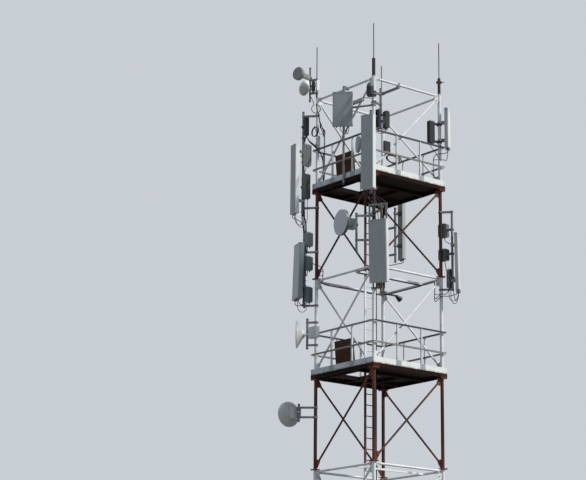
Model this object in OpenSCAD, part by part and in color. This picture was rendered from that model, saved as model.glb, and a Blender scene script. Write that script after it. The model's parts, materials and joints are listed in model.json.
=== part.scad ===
// Cell tower: a square bolted lattice of four tubular legs with three working
// platforms, a ladder, sector antennas, radio units, dishes and whip aerials.
// The origin is the underside of the left leg's base plate. X runs along the
// front face, Y runs from the front face to the back, Z is up. Millimetres.

/* [Tower] */
// Distance between the leg centres along one face
side = 2300; // [2000:10:2600]
// Height of one bay, from ring to ring
bay = 2500; // [2300:10:2700]
// Height of the lowest ring above the base plates
foot = 450; // [350:10:600]
// Outside diameter of a leg tube
leg_d = 89; // [76:1:102]
// Outside diameter of a horizontal ring tube
ring_d = 60; // [42:1:64]
// Outside diameter of a diagonal tube
diagonal_d = 51; // [38:1:60]

/* [Base plates] */
// Side of a square base plate
base_w = 360; // [320:5:420]
// Thickness of a base plate
base_t = 25; // [16:1:40]
// Distance between anchor holes along one side
anchor_pitch = 280; // [250:5:290]
// Diameter of an anchor hole
anchor_d = 27; // [18:1:33]

/* [Platforms] */
// Depth of the platform edge channel
channel_h = 94; // [80:1:120]
// Thickness of the deck plate
deck_t = 6; // [4:1:10]
// Height of a toe board
toe_h = 150; // [100:5:180]
// Height of the top rail above the deck
rail_h = 1100; // [1000:10:1200]
// Height of the middle rail's top above the deck
mid_rail_h = 560; // [450:10:650]
// Width of a post or rail
rail_w = 40; // [30:1:50]

/* [Hatches and ladder] */
// Length of a hatch cover along its hinge
cover_w = 750; // [650:5:760]
// Angle of an open hatch cover past upright
cover_lean = 5.5; // [3:0.5:5.5]
// Distance between the centres of the ladder's side angles
ladder_w = 310; // [280:5:340]
// Distance between ladder rungs
rung_pitch = 280; // [250:5:300]

/* [Aerials] */
// Height of the top of the whips above the top ring
whip_top = 1520; // [1200:10:1800]
// Outside diameter of an aerial mounting pipe
pipe_d = 60; // [48:1:64]

/* [Hidden] */
$fn = 48;

bays = 7;
platform_levels = [2, 4, 6];
top_level = bays;
ring_levels = [0, 1, 3, 5, 7];

white = "gainsboro";
rust_red = "brown";
galvanised = "silver";
panel_grey = "slategray";
radio_grey = "darkslategray";
dark_steel = "saddlebrown";

// Clearance between a collar and the round tube inside it
slip = 0.2;

function level_z(k) = foot + bay * k;
function has(list, k) = len([for (v = list) if (v == k) v]) > 0;
function is_platform(k) = has(platform_levels, k);

top_z = level_z(top_level);
upper_z = level_z(6);
middle_z = level_z(4);
lower_z = level_z(2);

// Work points: where a diagonal's line meets the leg's centre line, above a
// level for the diagonal that rises and below it for the one that falls
rise_work = 110;
function fall_work(k) = is_platform(k) ? -110 : 0;

// Gusset and tongue sizes
gusset_t = 10;
tongue_t = 8;
tongue_w = 60;
tongue_from = 140;
tongue_to = 270;
gusset_reach = 235;
gusset_half = 40;
tab_reach = 170;
tongue_y = -gusset_t / 2 - tongue_t / 2;

// Leg flanges at the rings, and the cap on top of a leg
flange_w = 170;
flange_t = 24;
flange_above = 50;
leg_top = 60;
cap_t = 8;
cap_d = 115;

// Platform outline: the edge channel passes just outside the legs. Its top
// carries a toe board, a post or rail inside that, and a gap to the leg
toe_t = 5;
rail_clear = 5;
channel_w = toe_t + rail_w + rail_clear;
leg_gap = 0.5;
frame_out = leg_d / 2 + leg_gap + channel_w;
edge_low = -frame_out;
edge_high = side + frame_out;
seat_drop = deck_t + channel_h;
steel_t = 6;
joist_w = 50;
joist_step = 620;
leg_hole = 6;
toe_gap = 12;
plate_gap = 3;
rail_low = edge_low + toe_t;
post_at = [side * 0.313, side * 0.667];
lug_in = 40;
lug_t = 8;
rail_end = 4;

// Hatch opening, ladder and hinge places on a platform
hatch_x0 = 600;
hatch_x1 = 1530;
hatch_y0 = 170;
hatch_y1 = 950;
hinge_y = 178;
hinge_z = 17;
hinge_pin = 12;
hinge_knuckle = 24;
knuckle_l = 50;
hinge_ear = 8;
hinge_x = [hatch_x0 + 150, hatch_x0 + 620];
pin_slack = 0.5;
ear_gap = 2;
cover_x0 = hatch_x0 + 15;
cover_t = 5;
cover_len = hatch_y1 - hinge_y + 20;
stiffener = 25;

ladder_x = hatch_x1;
ladder_y = 540;
stringer = 60;
stringer_t = 6;
rung_d = 25;
ladder_z0 = 150;
ladder_top = upper_z + rail_h;
bearer = 50;

// A round bar between two points
module bar(a, b, d) {
    v = b - a;
    l = norm(v);
    translate(a)
        rotate([0, acos(v[2] / l), atan2(v[1], v[0])])
            cylinder(d = d, h = l);
}

// A box given by its low corner and its high corner
module block(a, b) {
    translate(a) cube(b - a);
}

// Puts a piece of the left corner or front face at corner or face k
module turned(k) {
    translate([side / 2, side / 2, 0])
        rotate([0, 0, 90 * k])
            translate([-side / 2, -side / 2, 0])
                children();
}

// A vertical plate in the front face, from a flat outline in X and Z
module face_plate(points) {
    translate([0, gusset_t / 2, 0])
        rotate([90, 0, 0])
            linear_extrude(gusset_t)
                polygon(points);
}

// Angle of the diagonal that rises from level k
function diagonal_run(k) = [side, bay + fall_work(k + 1) - rise_work];
function diagonal_angle(k) = atan2(diagonal_run(k)[1], diagonal_run(k)[0]);

// Outline of the gusset that a diagonal's tongue is bolted to; up is 1 or -1
function gusset_outline(a, up) = [
    [0, -40 * up],
    [100, -10 * up],
    [gusset_reach * cos(a) + gusset_half * sin(a),
     up * (gusset_reach * sin(a) - gusset_half * cos(a))],
    [gusset_reach * cos(a) - gusset_half * sin(a),
     up * (gusset_reach * sin(a) + gusset_half * cos(a))],
    [0, up * 215]
];

module gusset_up(k) {
    translate([0, 0, level_z(k) + rise_work])
        face_plate(gusset_outline(diagonal_angle(k), 1));
}

module gusset_down(k) {
    translate([0, 0, level_z(k) + fall_work(k)])
        face_plate(gusset_outline(diagonal_angle(k - 1), -1));
}

module ring_tab(k) {
    block([0, -gusset_t / 2, level_z(k) - 50], [tab_reach, gusset_t / 2, level_z(k) + 50]);
}

module flange(z, w) {
    translate([0, 0, z]) block([-w / 2, -w / 2, 0], [w / 2, w / 2, flange_t]);
}

// Plate round the leg under the ends of the rails at this corner
module rail_lug(z) {
    block([rail_low, rail_low, z - lug_t], [lug_in, lug_in, z]);
}

module base_plate() {
    difference() {
        block([-base_w / 2, -base_w / 2, 0], [base_w / 2, base_w / 2, base_t]);
        for (x = [-1, 1], y = [-1, 1])
            translate([x * anchor_pitch / 2, y * anchor_pitch / 2, -1])
                cylinder(d = anchor_d, h = base_t + 2);
    }
    for (r = [0, 90])
        rotate([0, 0, r])
            translate([0, 6, base_t])
                rotate([90, 0, 0])
                    linear_extrude(12)
                        polygon([[-150, 0], [150, 0], [150, 25], [45, 150], [-45, 150], [-150, 25]]);
}

// One leg, as it stands at the left corner
module leg() {
    base_plate();
    cylinder(d = leg_d, h = top_z + leg_top);
    translate([0, 0, top_z + leg_top]) cylinder(d = cap_d, h = cap_t);
    for (k = [0:bays]) {
        if (has(ring_levels, k)) {
            ring_tab(k);
            mirror([1, -1, 0]) ring_tab(k);
        }
        if (k < bays) gusset_up(k);
        if (k > 0) mirror([1, -1, 0]) gusset_down(k);
        if (is_platform(k)) {
            flange(level_z(k) - seat_drop - flange_t, 2 * frame_out);
            rail_lug(level_z(k) + rail_h - rail_w);
            rail_lug(level_z(k) + mid_rail_h - rail_w);
        } else if (k < bays) {
            flange(level_z(k) + flange_above, flange_w);
        }
    }
}

// A tube with flattened ends that lap on the gussets; l is the length between
// its work points and it lies along X in the front face
module strut(l, d, from, to) {
    translate([0, tongue_y, 0]) {
        translate([to - 20, 0, 0]) rotate([0, 90, 0]) cylinder(d = d, h = l - 2 * (to - 20));
        for (x = [from, l - to])
            block([x, -tongue_t / 2, -tongue_w / 2], [x + to - from, tongue_t / 2, tongue_w / 2]);
    }
}

// One face of the lattice, as it stands in front: rings and diagonals
module side_face() {
    for (k = ring_levels)
        translate([0, 0, level_z(k)])
            strut(side, ring_d, 65, 200);
    for (k = [0:bays - 1])
        translate([0, 0, level_z(k) + rise_work])
            rotate([0, -diagonal_angle(k), 0])
                strut(norm(diagonal_run(k)), diagonal_d, tongue_from, tongue_to);
}

// Platform frame: an edge channel all round, and joists at the hatch
module platform_frame(z) {
    translate([0, 0, z - seat_drop]) {
        difference() {
            block([edge_low, edge_low, 0], [edge_high, edge_high, channel_h]);
            block([edge_low + channel_w, edge_low + channel_w, -1],
                  [edge_high - channel_w, edge_high - channel_w, channel_h + 1]);
            block([edge_low + steel_t, edge_low + steel_t, steel_t],
                  [edge_high - steel_t, edge_high - steel_t, channel_h - steel_t]);
        }
        for (x = [hatch_x0 - joist_w, hatch_x1])
            block([x, edge_low + steel_t / 2, steel_t / 2],
                  [x + joist_w, edge_high - steel_t / 2, channel_h]);
        for (y = [hatch_y0 - joist_w, hatch_y1, hatch_y1 + joist_step])
            block([edge_low + steel_t / 2, y, steel_t / 2], [hatch_x1 + 5, y + joist_w, channel_h]);
    }
}

// Hinge ears and pin that stand on the deck in front of the hatch
module deck_hinge(x) {
    for (e = [x - knuckle_l / 2 - ear_gap - hinge_ear, x + knuckle_l / 2 + ear_gap])
        difference() {
            block([e, hinge_y - 22, 0], [e + hinge_ear, hinge_y + 8, hinge_z + 10]);
            block([e - 1, hatch_y0, -1], [e + hinge_ear + 1, hinge_y + 9, 3]);
        }
    translate([x - knuckle_l / 2 - ear_gap - hinge_ear / 2, hinge_y, hinge_z])
        rotate([0, 90, 0])
            cylinder(d = hinge_pin, h = knuckle_l + 2 * ear_gap + hinge_ear);
}

// Deck: four plates round the hatch, with a hole round each leg
module deck(z) {
    joint_x = hatch_x1 + 18;
    translate([0, 0, z - deck_t])
        difference() {
            union() {
                block([edge_low, edge_low, 0], [joint_x - plate_gap, hatch_y0, deck_t]);
                block([edge_low, hatch_y0 + plate_gap, 0], [hatch_x0, hatch_y1, deck_t]);
                block([edge_low, hatch_y1 + plate_gap, 0], [joint_x - plate_gap, edge_high, deck_t]);
                block([joint_x, edge_low, 0], [edge_high, edge_high, deck_t]);
            }
            for (x = [0, side], y = [0, side])
                translate([x, y, -1]) cylinder(d = leg_d + 2 * leg_hole, h = deck_t + 2);
        }
    translate([0, 0, z])
        for (x = hinge_x) deck_hinge(x);
}

// Toe boards of one side: three lengths that meet at the posts
module toe_boards(z) {
    ends = concat([edge_low], post_at, [edge_high - toe_t]);
    for (k = [0:3], i = [0:2])
        turned(k)
            block([ends[i] + toe_gap / 2, edge_low, z],
                  [ends[i + 1] - toe_gap / 2, edge_low + toe_t, z + toe_h]);
}

module railing(z) {
    rail_high = side - rail_low - rail_w;
    for (k = [0:3])
        turned(k) {
            for (x = post_at)
                block([x - rail_w / 2, rail_low, z], [x + rail_w / 2, rail_low + rail_w, z + rail_h]);
            for (h = [mid_rail_h, rail_h])
                block([rail_low + rail_end, rail_low, z + h - rail_w],
                      [rail_high - rail_end, rail_low + rail_w, z + h]);
        }
}

// Hatch cover, closed: a plate on a frame of stiffeners, with two knuckles
module hatch_cover_closed() {
    difference() {
        union() {
            block([cover_x0, 14, -hinge_z + 8], [cover_x0 + cover_w, cover_len, -hinge_z + 8 + cover_t]);
            block([cover_x0 + 20, 14, -hinge_z + 8 - stiffener],
                  [cover_x0 + cover_w - 20, cover_len - 60, -hinge_z + 9]);
            for (x = hinge_x)
                block([x - knuckle_l / 2, 0, -hinge_z + 8],
                      [x + knuckle_l / 2, 40, -hinge_z + 8 + 12]);
            for (x = hinge_x)
                translate([x - knuckle_l / 2, 0, 0])
                    rotate([0, 90, 0]) cylinder(d = hinge_knuckle, h = knuckle_l);
        }
        block([cover_x0 + 26, 20, -hinge_z + 7 - stiffener],
              [cover_x0 + cover_w - 26, cover_len - 66, -hinge_z + 8]);
        for (x = hinge_x)
            translate([x - knuckle_l / 2 - 1, 0, 0])
                rotate([0, 90, 0]) cylinder(d = hinge_pin + 2 * pin_slack, h = knuckle_l + 2);
    }
}

// The cover stands open, leaning past upright
module hatch_cover(z) {
    translate([0, hinge_y, z + hinge_z])
        rotate([90 + cover_lean, 0, 0])
            hatch_cover_closed();
}

// Ladder: two angles and round rungs
module ladder() {
    for (s = [-1, 1]) {
        y = ladder_y + s * ladder_w / 2;
        block([ladder_x - stringer_t, y - stringer / 2, ladder_z0], [ladder_x, y + stringer / 2, ladder_top]);
        block([ladder_x - stringer, y - stringer_t / 2, ladder_z0], [ladder_x, y + stringer_t / 2, ladder_top]);
    }
    for (z = [ladder_z0 + 150:rung_pitch:ladder_top - 60])
        translate([ladder_x - stringer / 2 - 5, ladder_y - ladder_w / 2, z])
            rotate([-90, 0, 0])
                cylinder(d = rung_d, h = ladder_w);
}

// Bars from the front ring to the back ring that carry the ladder
module ladder_bearers() {
    for (k = [0, 1, 3, 5])
        difference() {
            block([ladder_x, tongue_y, level_z(k) - bearer / 2],
                  [ladder_x + bearer, side - tongue_y, level_z(k) + bearer / 2]);
            for (y = [tongue_y, side - tongue_y])
                translate([ladder_x - 1, y, level_z(k)])
                    rotate([0, 90, 0]) cylinder(d = ring_d + 2 * slip, h = bearer + 2);
        }
}

// Heights and corners that the aerials are set out from
ring_z = level_z(5);
corner_left = [0, 0];
corner_near = [side, 0];
corner_right = [side, side];
corner_far = [0, side];
stub_d = 48;

// The slim whips stand off the middle of their leg caps
whip_shift = [-24, -20];

// Mounting pipes: plan point, low end, high end and diameter
pipe_left_top = [[-185, -125], top_z - 20, top_z + 950, stub_d];
pipe_left_upper = [[-290, -260], upper_z - 700, upper_z + 2190, pipe_d];
pipe_left_lower = [[-235, -215], ring_z - 700, ring_z + 1350, pipe_d];
pipe_cone = [[-170, -160], middle_z + 700, middle_z + 1500, pipe_d];
pipe_drum = [[-285, -325], middle_z - 1200, middle_z - 750, pipe_d];
pipe_near_upper = [[side + 110, -190], upper_z - 690, upper_z + 1550, pipe_d];
pipe_near_lower = [[side + 260, 25], ring_z - 750, ring_z + 1510, pipe_d];
pipe_near_inner = [[side - 35, 265], upper_z + 1190, upper_z + 2280, pipe_d];
pipe_disc = [[side - 290, -330], ring_z + 350, ring_z + 1370, pipe_d];
pipe_right_lower = [[side + 230, side + 195], ring_z - 310, ring_z + 1830, pipe_d];
pipe_far = [[400, side + 95], ring_z + 830, ring_z + 2350, pipe_d];
front_gap = 5;
pipe_front = [[1247, edge_low - front_gap - pipe_d / 2], upper_z - 150, top_z + 25, pipe_d];

// Legs and stubs that carry a piece without a pipe, in the same form
stub_left = [corner_left + whip_shift, top_z, top_z, stub_d];
tube_left = [corner_left, 0, top_z, leg_d];
tube_near = [corner_near, 0, top_z, leg_d];
tube_right = [corner_right, 0, top_z, leg_d];

// Sector panels: tube, height of the underside, [width, depth, height],
// facing, distance out to the back, lean of the top, and clamp heights
sector_left_upper = [pipe_left_upper, upper_z - 680, [300, 130, 1900], 258, 180, 0,
                     [upper_z - 300, upper_z + 1060]];
sector_left_lower = [pipe_left_lower, ring_z - 490, [490, 140, 1490], 250, 135, -1.8,
                     [ring_z - 120, ring_z + 720]];
sector_near_upper = [pipe_near_upper, upper_z - 585, [362, 150, 1950], 294, 95, 0,
                     [upper_z - 150, upper_z + 1050]];
sector_near_lower = [pipe_near_lower, ring_z - 520, [490, 150, 1600], 300, 95, 3,
                     [ring_z - 150, ring_z + 900]];
sector_right_upper = [tube_right, upper_z + 1040, [300, 122, 1100], 40, 150, 0,
                      [upper_z + 1280, upper_z + 1770]];
sector_right_lower = [pipe_right_lower, ring_z - 330, [500, 110, 1510], 44, 85, -0.9,
                      [ring_z - 50, ring_z + 900]];
sector_front = [pipe_front, upper_z + 1325, [525, 60, 940], 315, 285, 0,
                [upper_z + 1455, upper_z + 2075]];
sector_far = [pipe_far, ring_z + 930, [280, 118, 1600], 75, 150, 0,
              [ring_z + 1300, ring_z + 2200]];

// Radio units: tube, height of the underside, [width, depth, height],
// facing, distance out to the back, and clamp heights as shares of the height
unit_left_top = [pipe_left_top, top_z + 280, [100, 90, 280], 55, 50, [0.5]];
unit_left_high = [pipe_left_upper, upper_z + 1500, [95, 110, 510], 10, 66, [0.5]];
unit_left_middle = [pipe_left_upper, upper_z + 650, [180, 140, 580], 10, 90, [0.5]];
unit_left_low = [pipe_left_upper, upper_z - 260, [180, 130, 670], 2, 90, [0.5]];
unit_left_ring_high = [pipe_left_lower, ring_z + 940, [180, 150, 360], 10, 70, [0.5]];
unit_left_ring_middle = [pipe_left_lower, ring_z + 290, [180, 150, 360], 10, 70, [0.5]];
unit_left_ring_low = [pipe_left_lower, ring_z - 570, [180, 150, 400], 10, 70, [0.75]];
unit_near_front = [pipe_near_inner, upper_z + 1230, [120, 110, 450], 275, 50, [0.35]];
unit_near_back = [pipe_near_inner, upper_z + 1230, [150, 130, 450], 80, 110, [0.75]];
unit_right_upper = [tube_right, upper_z + 1150, [100, 200, 600], 270, 215, [0.12, 0.93]];
unit_right_high = [pipe_right_lower, ring_z + 1160, [180, 240, 340], 190, 160, [0.5]];
unit_right_middle = [pipe_right_lower, ring_z + 530, [180, 240, 290], 190, 160, [0.5]];
unit_right_low = [pipe_right_lower, ring_z - 210, [110, 150, 480], 170, 68, [0.5]];

// Panel and radio details
cap_h = 34;
cap_lip = 4;
cover_round = 45;
socket_d = 28;
socket_l = 35;
panel_sockets = [-0.3, -0.1, 0.1, 0.3];
radio_sockets = [-0.25, 0.25];
fin_t = 5;
fin_deep = 24;
fin_pitch = 22;
fin_end = 15;

// Clamps: wall of a collar, reach of its bolted ears, and width of its arm
clasp_wall = 13;
clasp_ear = 22;
clasp_w = 50;
panel_clasp_w = 60;

// Jumper leads: thickness, straight length below a socket, and the sides and
// steps of the swept tube
lead_d = 16;
lead_drop = 60;
lead_gap = 0.3;
lead_sides = 8;
lead_step = 20;

// A two-part clamp round an upright tube, with an arm that reaches out from it
module clasp(tube, z, facing, reach, w = clasp_w) {
    d = tube[3];
    ears = d / 2 + clasp_wall + clasp_ear;
    translate([tube[0][0], tube[0][1], z - w / 2])
        rotate([0, 0, facing])
            difference() {
                union() {
                    cylinder(d = d + 2 * clasp_wall, h = w);
                    block([-clasp_wall, -ears, 0], [clasp_wall, ears, w]);
                    block([0, -w / 2, 0], [reach, w / 2, w]);
                }
                translate([0, 0, -1]) cylinder(d = d + 2 * slip, h = w + 2);
            }
}

function facing_to(p, q) = atan2(q[1] - p[1], q[0] - p[0]);

// A vertical pipe held off a tube by clamps and arms at the given heights
module held_pipe(pipe, tube, heights) {
    translate([pipe[0][0], pipe[0][1], pipe[1]]) cylinder(d = pipe[3], h = pipe[2] - pipe[1]);
    for (z = heights)
        clasp(tube, z, facing_to(tube[0], pipe[0]), norm(pipe[0] - tube[0]));
}

module mounts_left_parts() {
    held_pipe(pipe_left_top, stub_left, [top_z + 215, top_z + 590]);
    held_pipe(pipe_left_upper, tube_left, [upper_z - 500, upper_z + 2060]);
    held_pipe(pipe_left_lower, tube_left, [ring_z - 650, ring_z + 790]);
    held_pipe(pipe_cone, tube_left, [middle_z + 800, middle_z + 1400]);
    held_pipe(pipe_drum, tube_left, [middle_z - 1090, middle_z - 840]);
}

// Cross bar over the near lower panel, with a drop to each end of its top
hanger_reach = 275;
hanger_w = 490;
hanger_drop = 385;
hanger_bar = 50;
module hanger(tube, z, facing) {
    clasp(tube, z, facing, hanger_reach);
    translate([tube[0][0], tube[0][1], z])
        rotate([0, 0, facing]) {
            block([hanger_reach - hanger_bar, -hanger_w / 2, -hanger_bar / 2],
                  [hanger_reach, hanger_w / 2, hanger_bar / 2]);
            for (s = [-1, 1])
                translate([hanger_reach - 40, s * (hanger_w / 2 - 20), -hanger_drop])
                    block([0, -20, 0], [35, 20, hanger_drop]);
        }
}

module mounts_near_parts() {
    held_pipe(pipe_near_upper, tube_near, [upper_z - 500, upper_z + 1450]);
    held_pipe(pipe_near_lower, tube_near, [ring_z - 600, ring_z + 1390]);
    held_pipe(pipe_near_inner, tube_near, [upper_z + 1850, upper_z + 2120]);
    held_pipe(pipe_disc, tube_near, [ring_z + 660, ring_z + 1300]);
    hanger(pipe_near_lower, ring_z + 1480, 300);
}

module mounts_right_parts() {
    held_pipe(pipe_right_lower, tube_right, [ring_z - 285, ring_z + 1800]);
}

module mounts_far_parts() {
    held_pipe(pipe_far, [corner_far, 0, top_z, leg_d], [ring_z + 1050, ring_z + 1800]);
}

// Collar on a ring tube of the front face, from a low edge to a front edge
collar_w = 50;
collar_wall = 12;
module ring_clamp(x, z, low, front) {
    outside = ring_d / 2 + collar_wall;
    difference() {
        block([x - collar_w / 2, front, low], [x + collar_w / 2, tongue_y + outside, z + outside]);
        translate([x - collar_w / 2 - 1, tongue_y, z])
            rotate([0, 90, 0])
                cylinder(d = ring_d + 2 * slip, h = collar_w + 2);
    }
}

// Pipe of the front panel, with its tie to the near leg and a thick side arm
// that runs along the front face
tie_d = 50;
tie_drop = 735;
tie_rise = 150;
side_arm_d = 90;
side_arm_drop = 520;
side_arm_y = -84;
side_arm_end = 1990;
module front_pipe() {
    p = pipe_front[0];
    tie_z = top_z - tie_drop;
    side_arm = [p[0], side_arm_y, top_z - side_arm_drop];
    translate([p[0], p[1], pipe_front[1]]) cylinder(d = pipe_d, h = pipe_front[2] - pipe_front[1]);
    ring_clamp(p[0], top_z, top_z - ring_d / 2 - collar_wall, p[1]);
    block([p[0] - collar_w / 2, p[1], upper_z - 80], [p[0] + collar_w / 2, edge_low, upper_z - 30]);
    bar(side_arm, [side_arm_end, side_arm[1], side_arm[2]], side_arm_d);
    clasp(tube_near, tie_z, 218, 90);
    bar([side - 75, -58, tie_z], [p[0], p[1], tie_z + tie_rise], tie_d);
}

// Spare boom that lies under the top ring of the right face
boom_d = 76;
boom_end_d = 96;
boom_l = 620;
boom_out = 50;
boom_at = 840;
module boom() {
    z = top_z - ring_d / 2 - boom_d / 2 - 2;
    turned(1) {
        translate([boom_at, -boom_out, z]) rotate([-90, 0, 0]) cylinder(d = boom_d, h = boom_l);
        translate([boom_at, boom_l - boom_out, z]) rotate([-90, 0, 0]) cylinder(d = boom_end_d, h = 60);
        ring_clamp(boom_at, top_z, z, -boom_out);
    }
}

// Section of a panel cover, extruded upwards: round corners at the front
module radome(w, d, h, r) {
    block([-d / 2, -w / 2 + r, 0], [d / 2, w / 2 - r, h]);
    block([-d / 2, -w / 2, 0], [d / 2 - r, w / 2, h]);
    for (s = [-1, 1])
        translate([d / 2 - r, s * (w / 2 - r), 0]) cylinder(r = r, h = h);
}

// A sector panel: cover, end caps, sockets underneath and its clamps
module panel(s) {
    size = s[2];
    r = min(cover_round, size[1] * 0.35);
    translate([s[0][0][0], s[0][0][1], 0])
        rotate([0, 0, s[3]])
            translate([s[4] + size[1] / 2, 0, s[1]])
                rotate([0, s[5], 0]) {
                    radome(size[0], size[1], size[2], r);
                    for (c = [0, size[2] - cap_h])
                        translate([0, 0, c])
                            radome(size[0] + 2 * cap_lip, size[1] + 2 * cap_lip, cap_h, r + cap_lip);
                    for (y = panel_sockets)
                        translate([0, y * size[0], -socket_l]) cylinder(d = socket_d, h = socket_l + 1);
                }
    for (z = s[6])
        clasp(s[0], z, s[3], s[4] + size[1] / 2 + (z - s[1]) * tan(s[5]), panel_clasp_w);
}

// A radio unit: case with cooling fins outside, sockets below and its clamps
module radio(s) {
    size = s[2];
    case_d = size[1] - fin_deep;
    fins = floor((size[0] - 20) / fin_pitch);
    translate([s[0][0][0], s[0][0][1], s[1]])
        rotate([0, 0, s[3]])
            translate([s[4], 0, 0]) {
                block([0, -size[0] / 2, 0], [case_d, size[0] / 2, size[2]]);
                for (i = [0:fins])
                    translate([0, (i - fins / 2) * fin_pitch, 0])
                        block([case_d - 1, -fin_t / 2, fin_end], [size[1], fin_t / 2, size[2] - fin_end]);
                for (y = radio_sockets)
                    translate([case_d / 2, y * size[0], -socket_l]) cylinder(d = socket_d, h = socket_l + 1);
            }
    for (g = s[5]) clasp(s[0], s[1] + size[2] * g, s[3], s[4] + 5);
}

// A dish on its radio box, which is box[0] wide and box[1] high: an outline
// of radius against depth is turned about its axis
module dish(tube, z, facing, off, outline, box) {
    translate([tube[0][0], tube[0][1], z])
        rotate([0, 0, facing]) {
            translate([off, 0, 0]) rotate([0, 90, 0]) rotate_extrude() polygon(outline);
            block([tube[3] / 2 + clasp_ear, -box[0] / 2, -box[1] / 2], [off + 1, box[0] / 2, box[1] / 2]);
        }
    clasp(tube, z, facing, off);
}

// Outline of a shallow reflector of radius r with a rim and a flat cover
function reflector(r, deep, rim) = [
    [0, 0], [0.3 * r, 0], [0.42 * r, 0.12 * deep], [0.62 * r, 0.32 * deep],
    [0.82 * r, 0.62 * deep], [0.97 * r, 0.96 * deep], [r, deep],
    [r, deep + rim], [0.97 * r, deep + rim + 8], [0, deep + rim + 12]
];

// Outline of a reflector with a cover that bulges
function domed(r, deep, rim, bulge) = concat(
    [for (q = reflector(r, deep, rim)) if (q[1] <= deep) q],
    [for (a = [0:15:90]) [r * cos(a), deep + rim + bulge * sin(a)]]
);

// A whip aerial on the cap of a leg: a base, then a thin rod
rod_d = 24;
module whip(p, base_d, base_h) {
    z = top_z + leg_top + cap_t;
    translate([p[0], p[1], z]) {
        cylinder(d = base_d, h = base_h);
        cylinder(d = rod_d, h = top_z + whip_top - z);
    }
}

// Low end of the socket at place i below a panel or radio
function out_from(s, out, along) = [
    s[0][0][0] + out * cos(s[3]) - along * sin(s[3]),
    s[0][0][1] + out * sin(s[3]) + along * cos(s[3]),
    s[1] - socket_l
];
function panel_socket(s, i) = out_from(s, s[4] + s[2][1] / 2 - socket_l * tan(s[5]), panel_sockets[i] * s[2][0]);
function radio_socket(s, i) = out_from(s, s[4] + (s[2][1] - fin_deep) / 2, radio_sockets[i] * s[2][0]);

// Middle line of a lead: down from one socket, round a loop, up to the other
function lead_route(a, b, sag) =
    let (low = min(a[2], b[2]) - lead_drop, mid = (a + b) / 2, half = (b - a) / 2)
        concat([[a[0], a[1], a[2] - lead_gap]],
               [for (t = [0:lead_step:180])
                   [mid[0] - half[0] * cos(t), mid[1] - half[1] * cos(t), low - sag * sin(t)]],
               [[b[0], b[1], b[2] - lead_gap]]);

function unit(v) = v / norm(v);
function along_route(r, i) = unit(r[min(i + 1, len(r) - 1)] - r[max(i - 1, 0)]);

// A lead as one swept tube; its route lies in an upright plane
module lead(a, b, sag) {
    route = lead_route(a, b, sag);
    across = unit(cross([0, 0, 1], [b[0] - a[0], b[1] - a[1], 0]));
    n = len(route);
    rings = [for (i = [0:n - 1], j = [0:lead_sides - 1])
        let (run = i == 0 ? [0, 0, -1] : i == n - 1 ? [0, 0, 1] : along_route(route, i),
             side_way = cross(run, across), t = 360 * j / lead_sides)
            route[i] + lead_d / 2 * (across * cos(t) + side_way * sin(t))];
    function at(i, j) = i * lead_sides + j % lead_sides;
    polyhedron(rings, concat(
        [[for (j = [lead_sides - 1:-1:0]) at(0, j)]],
        [for (i = [0:n - 2], j = [0:lead_sides - 1]) each [
            [at(i, j), at(i, j + 1), at(i + 1, j + 1)],
            [at(i, j), at(i + 1, j + 1), at(i + 1, j)]]],
        [[for (j = [0:lead_sides - 1]) at(n - 1, j)]]));
}

module leg_left() { color(white) leg(); }
module leg_near() { color(white) turned(1) leg(); }
module leg_right() { color(white) turned(2) leg(); }
module leg_far() { color(white) turned(3) leg(); }
module side_front() { color(white) side_face(); }
module side_right() { color(white) turned(1) side_face(); }
module side_back() { color(white) turned(2) side_face(); }
module side_left() { color(white) turned(3) side_face(); }

module platform_frame_upper() { color(rust_red) platform_frame(upper_z); }
module platform_frame_middle() { color(rust_red) platform_frame(middle_z); }
module platform_frame_lower() { color(rust_red) platform_frame(lower_z); }
module deck_upper() { color(dark_steel) deck(upper_z); }
module deck_middle() { color(dark_steel) deck(middle_z); }
module deck_lower() { color(dark_steel) deck(lower_z); }
module toe_boards_upper() { color(white) toe_boards(upper_z); }
module toe_boards_middle() { color(white) toe_boards(middle_z); }
module toe_boards_lower() { color(white) toe_boards(lower_z); }
module railing_upper() { color(galvanised) railing(upper_z); }
module railing_middle() { color(galvanised) railing(middle_z); }
module railing_lower() { color(galvanised) railing(lower_z); }
module hatch_cover_upper() { color(dark_steel) hatch_cover(upper_z); }
module hatch_cover_middle() { color(dark_steel) hatch_cover(middle_z); }
module hatch_cover_lower() { color(dark_steel) hatch_cover(lower_z); }

module mounts_left() { color(galvanised) mounts_left_parts(); }
module mounts_near() { color(galvanised) mounts_near_parts(); }
module mounts_right() { color(galvanised) mounts_right_parts(); }
module mounts_far() { color(galvanised) mounts_far_parts(); }
module mounts_front() {
    color(galvanised) {
        front_pipe();
        boom();
    }
}

module panel_left_upper() { color(panel_grey) panel(sector_left_upper); }
module panel_left_lower() { color(panel_grey) panel(sector_left_lower); }
module panel_near_upper() { color(panel_grey) panel(sector_near_upper); }
module panel_near_lower() { color(panel_grey) panel(sector_near_lower); }
module panel_right_upper() { color(panel_grey) panel(sector_right_upper); }
module panel_right_lower() { color(panel_grey) panel(sector_right_lower); }
module panel_front() { color(panel_grey) panel(sector_front); }
module panel_far() { color(panel_grey) panel(sector_far); }

module radios_left() {
    color(radio_grey)
        for (s = [unit_left_top, unit_left_high, unit_left_middle, unit_left_low,
                  unit_left_ring_high, unit_left_ring_middle, unit_left_ring_low])
            radio(s);
}

module radios_near() {
    color(radio_grey)
        for (s = [unit_near_front, unit_near_back]) radio(s);
}

module radios_right() {
    color(radio_grey)
        for (s = [unit_right_upper, unit_right_high, unit_right_middle, unit_right_low]) radio(s);
}

module dish_top_grey() {
    color(galvanised) dish(pipe_left_top, top_z + 655, 280, 360, reflector(178, 70, 75), [100, 110]);
}

module dish_top_white() {
    color(white) dish(pipe_left_top, top_z + 330, 268, 110, domed(205, 60, 20, 95), [110, 120]);
}

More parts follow.
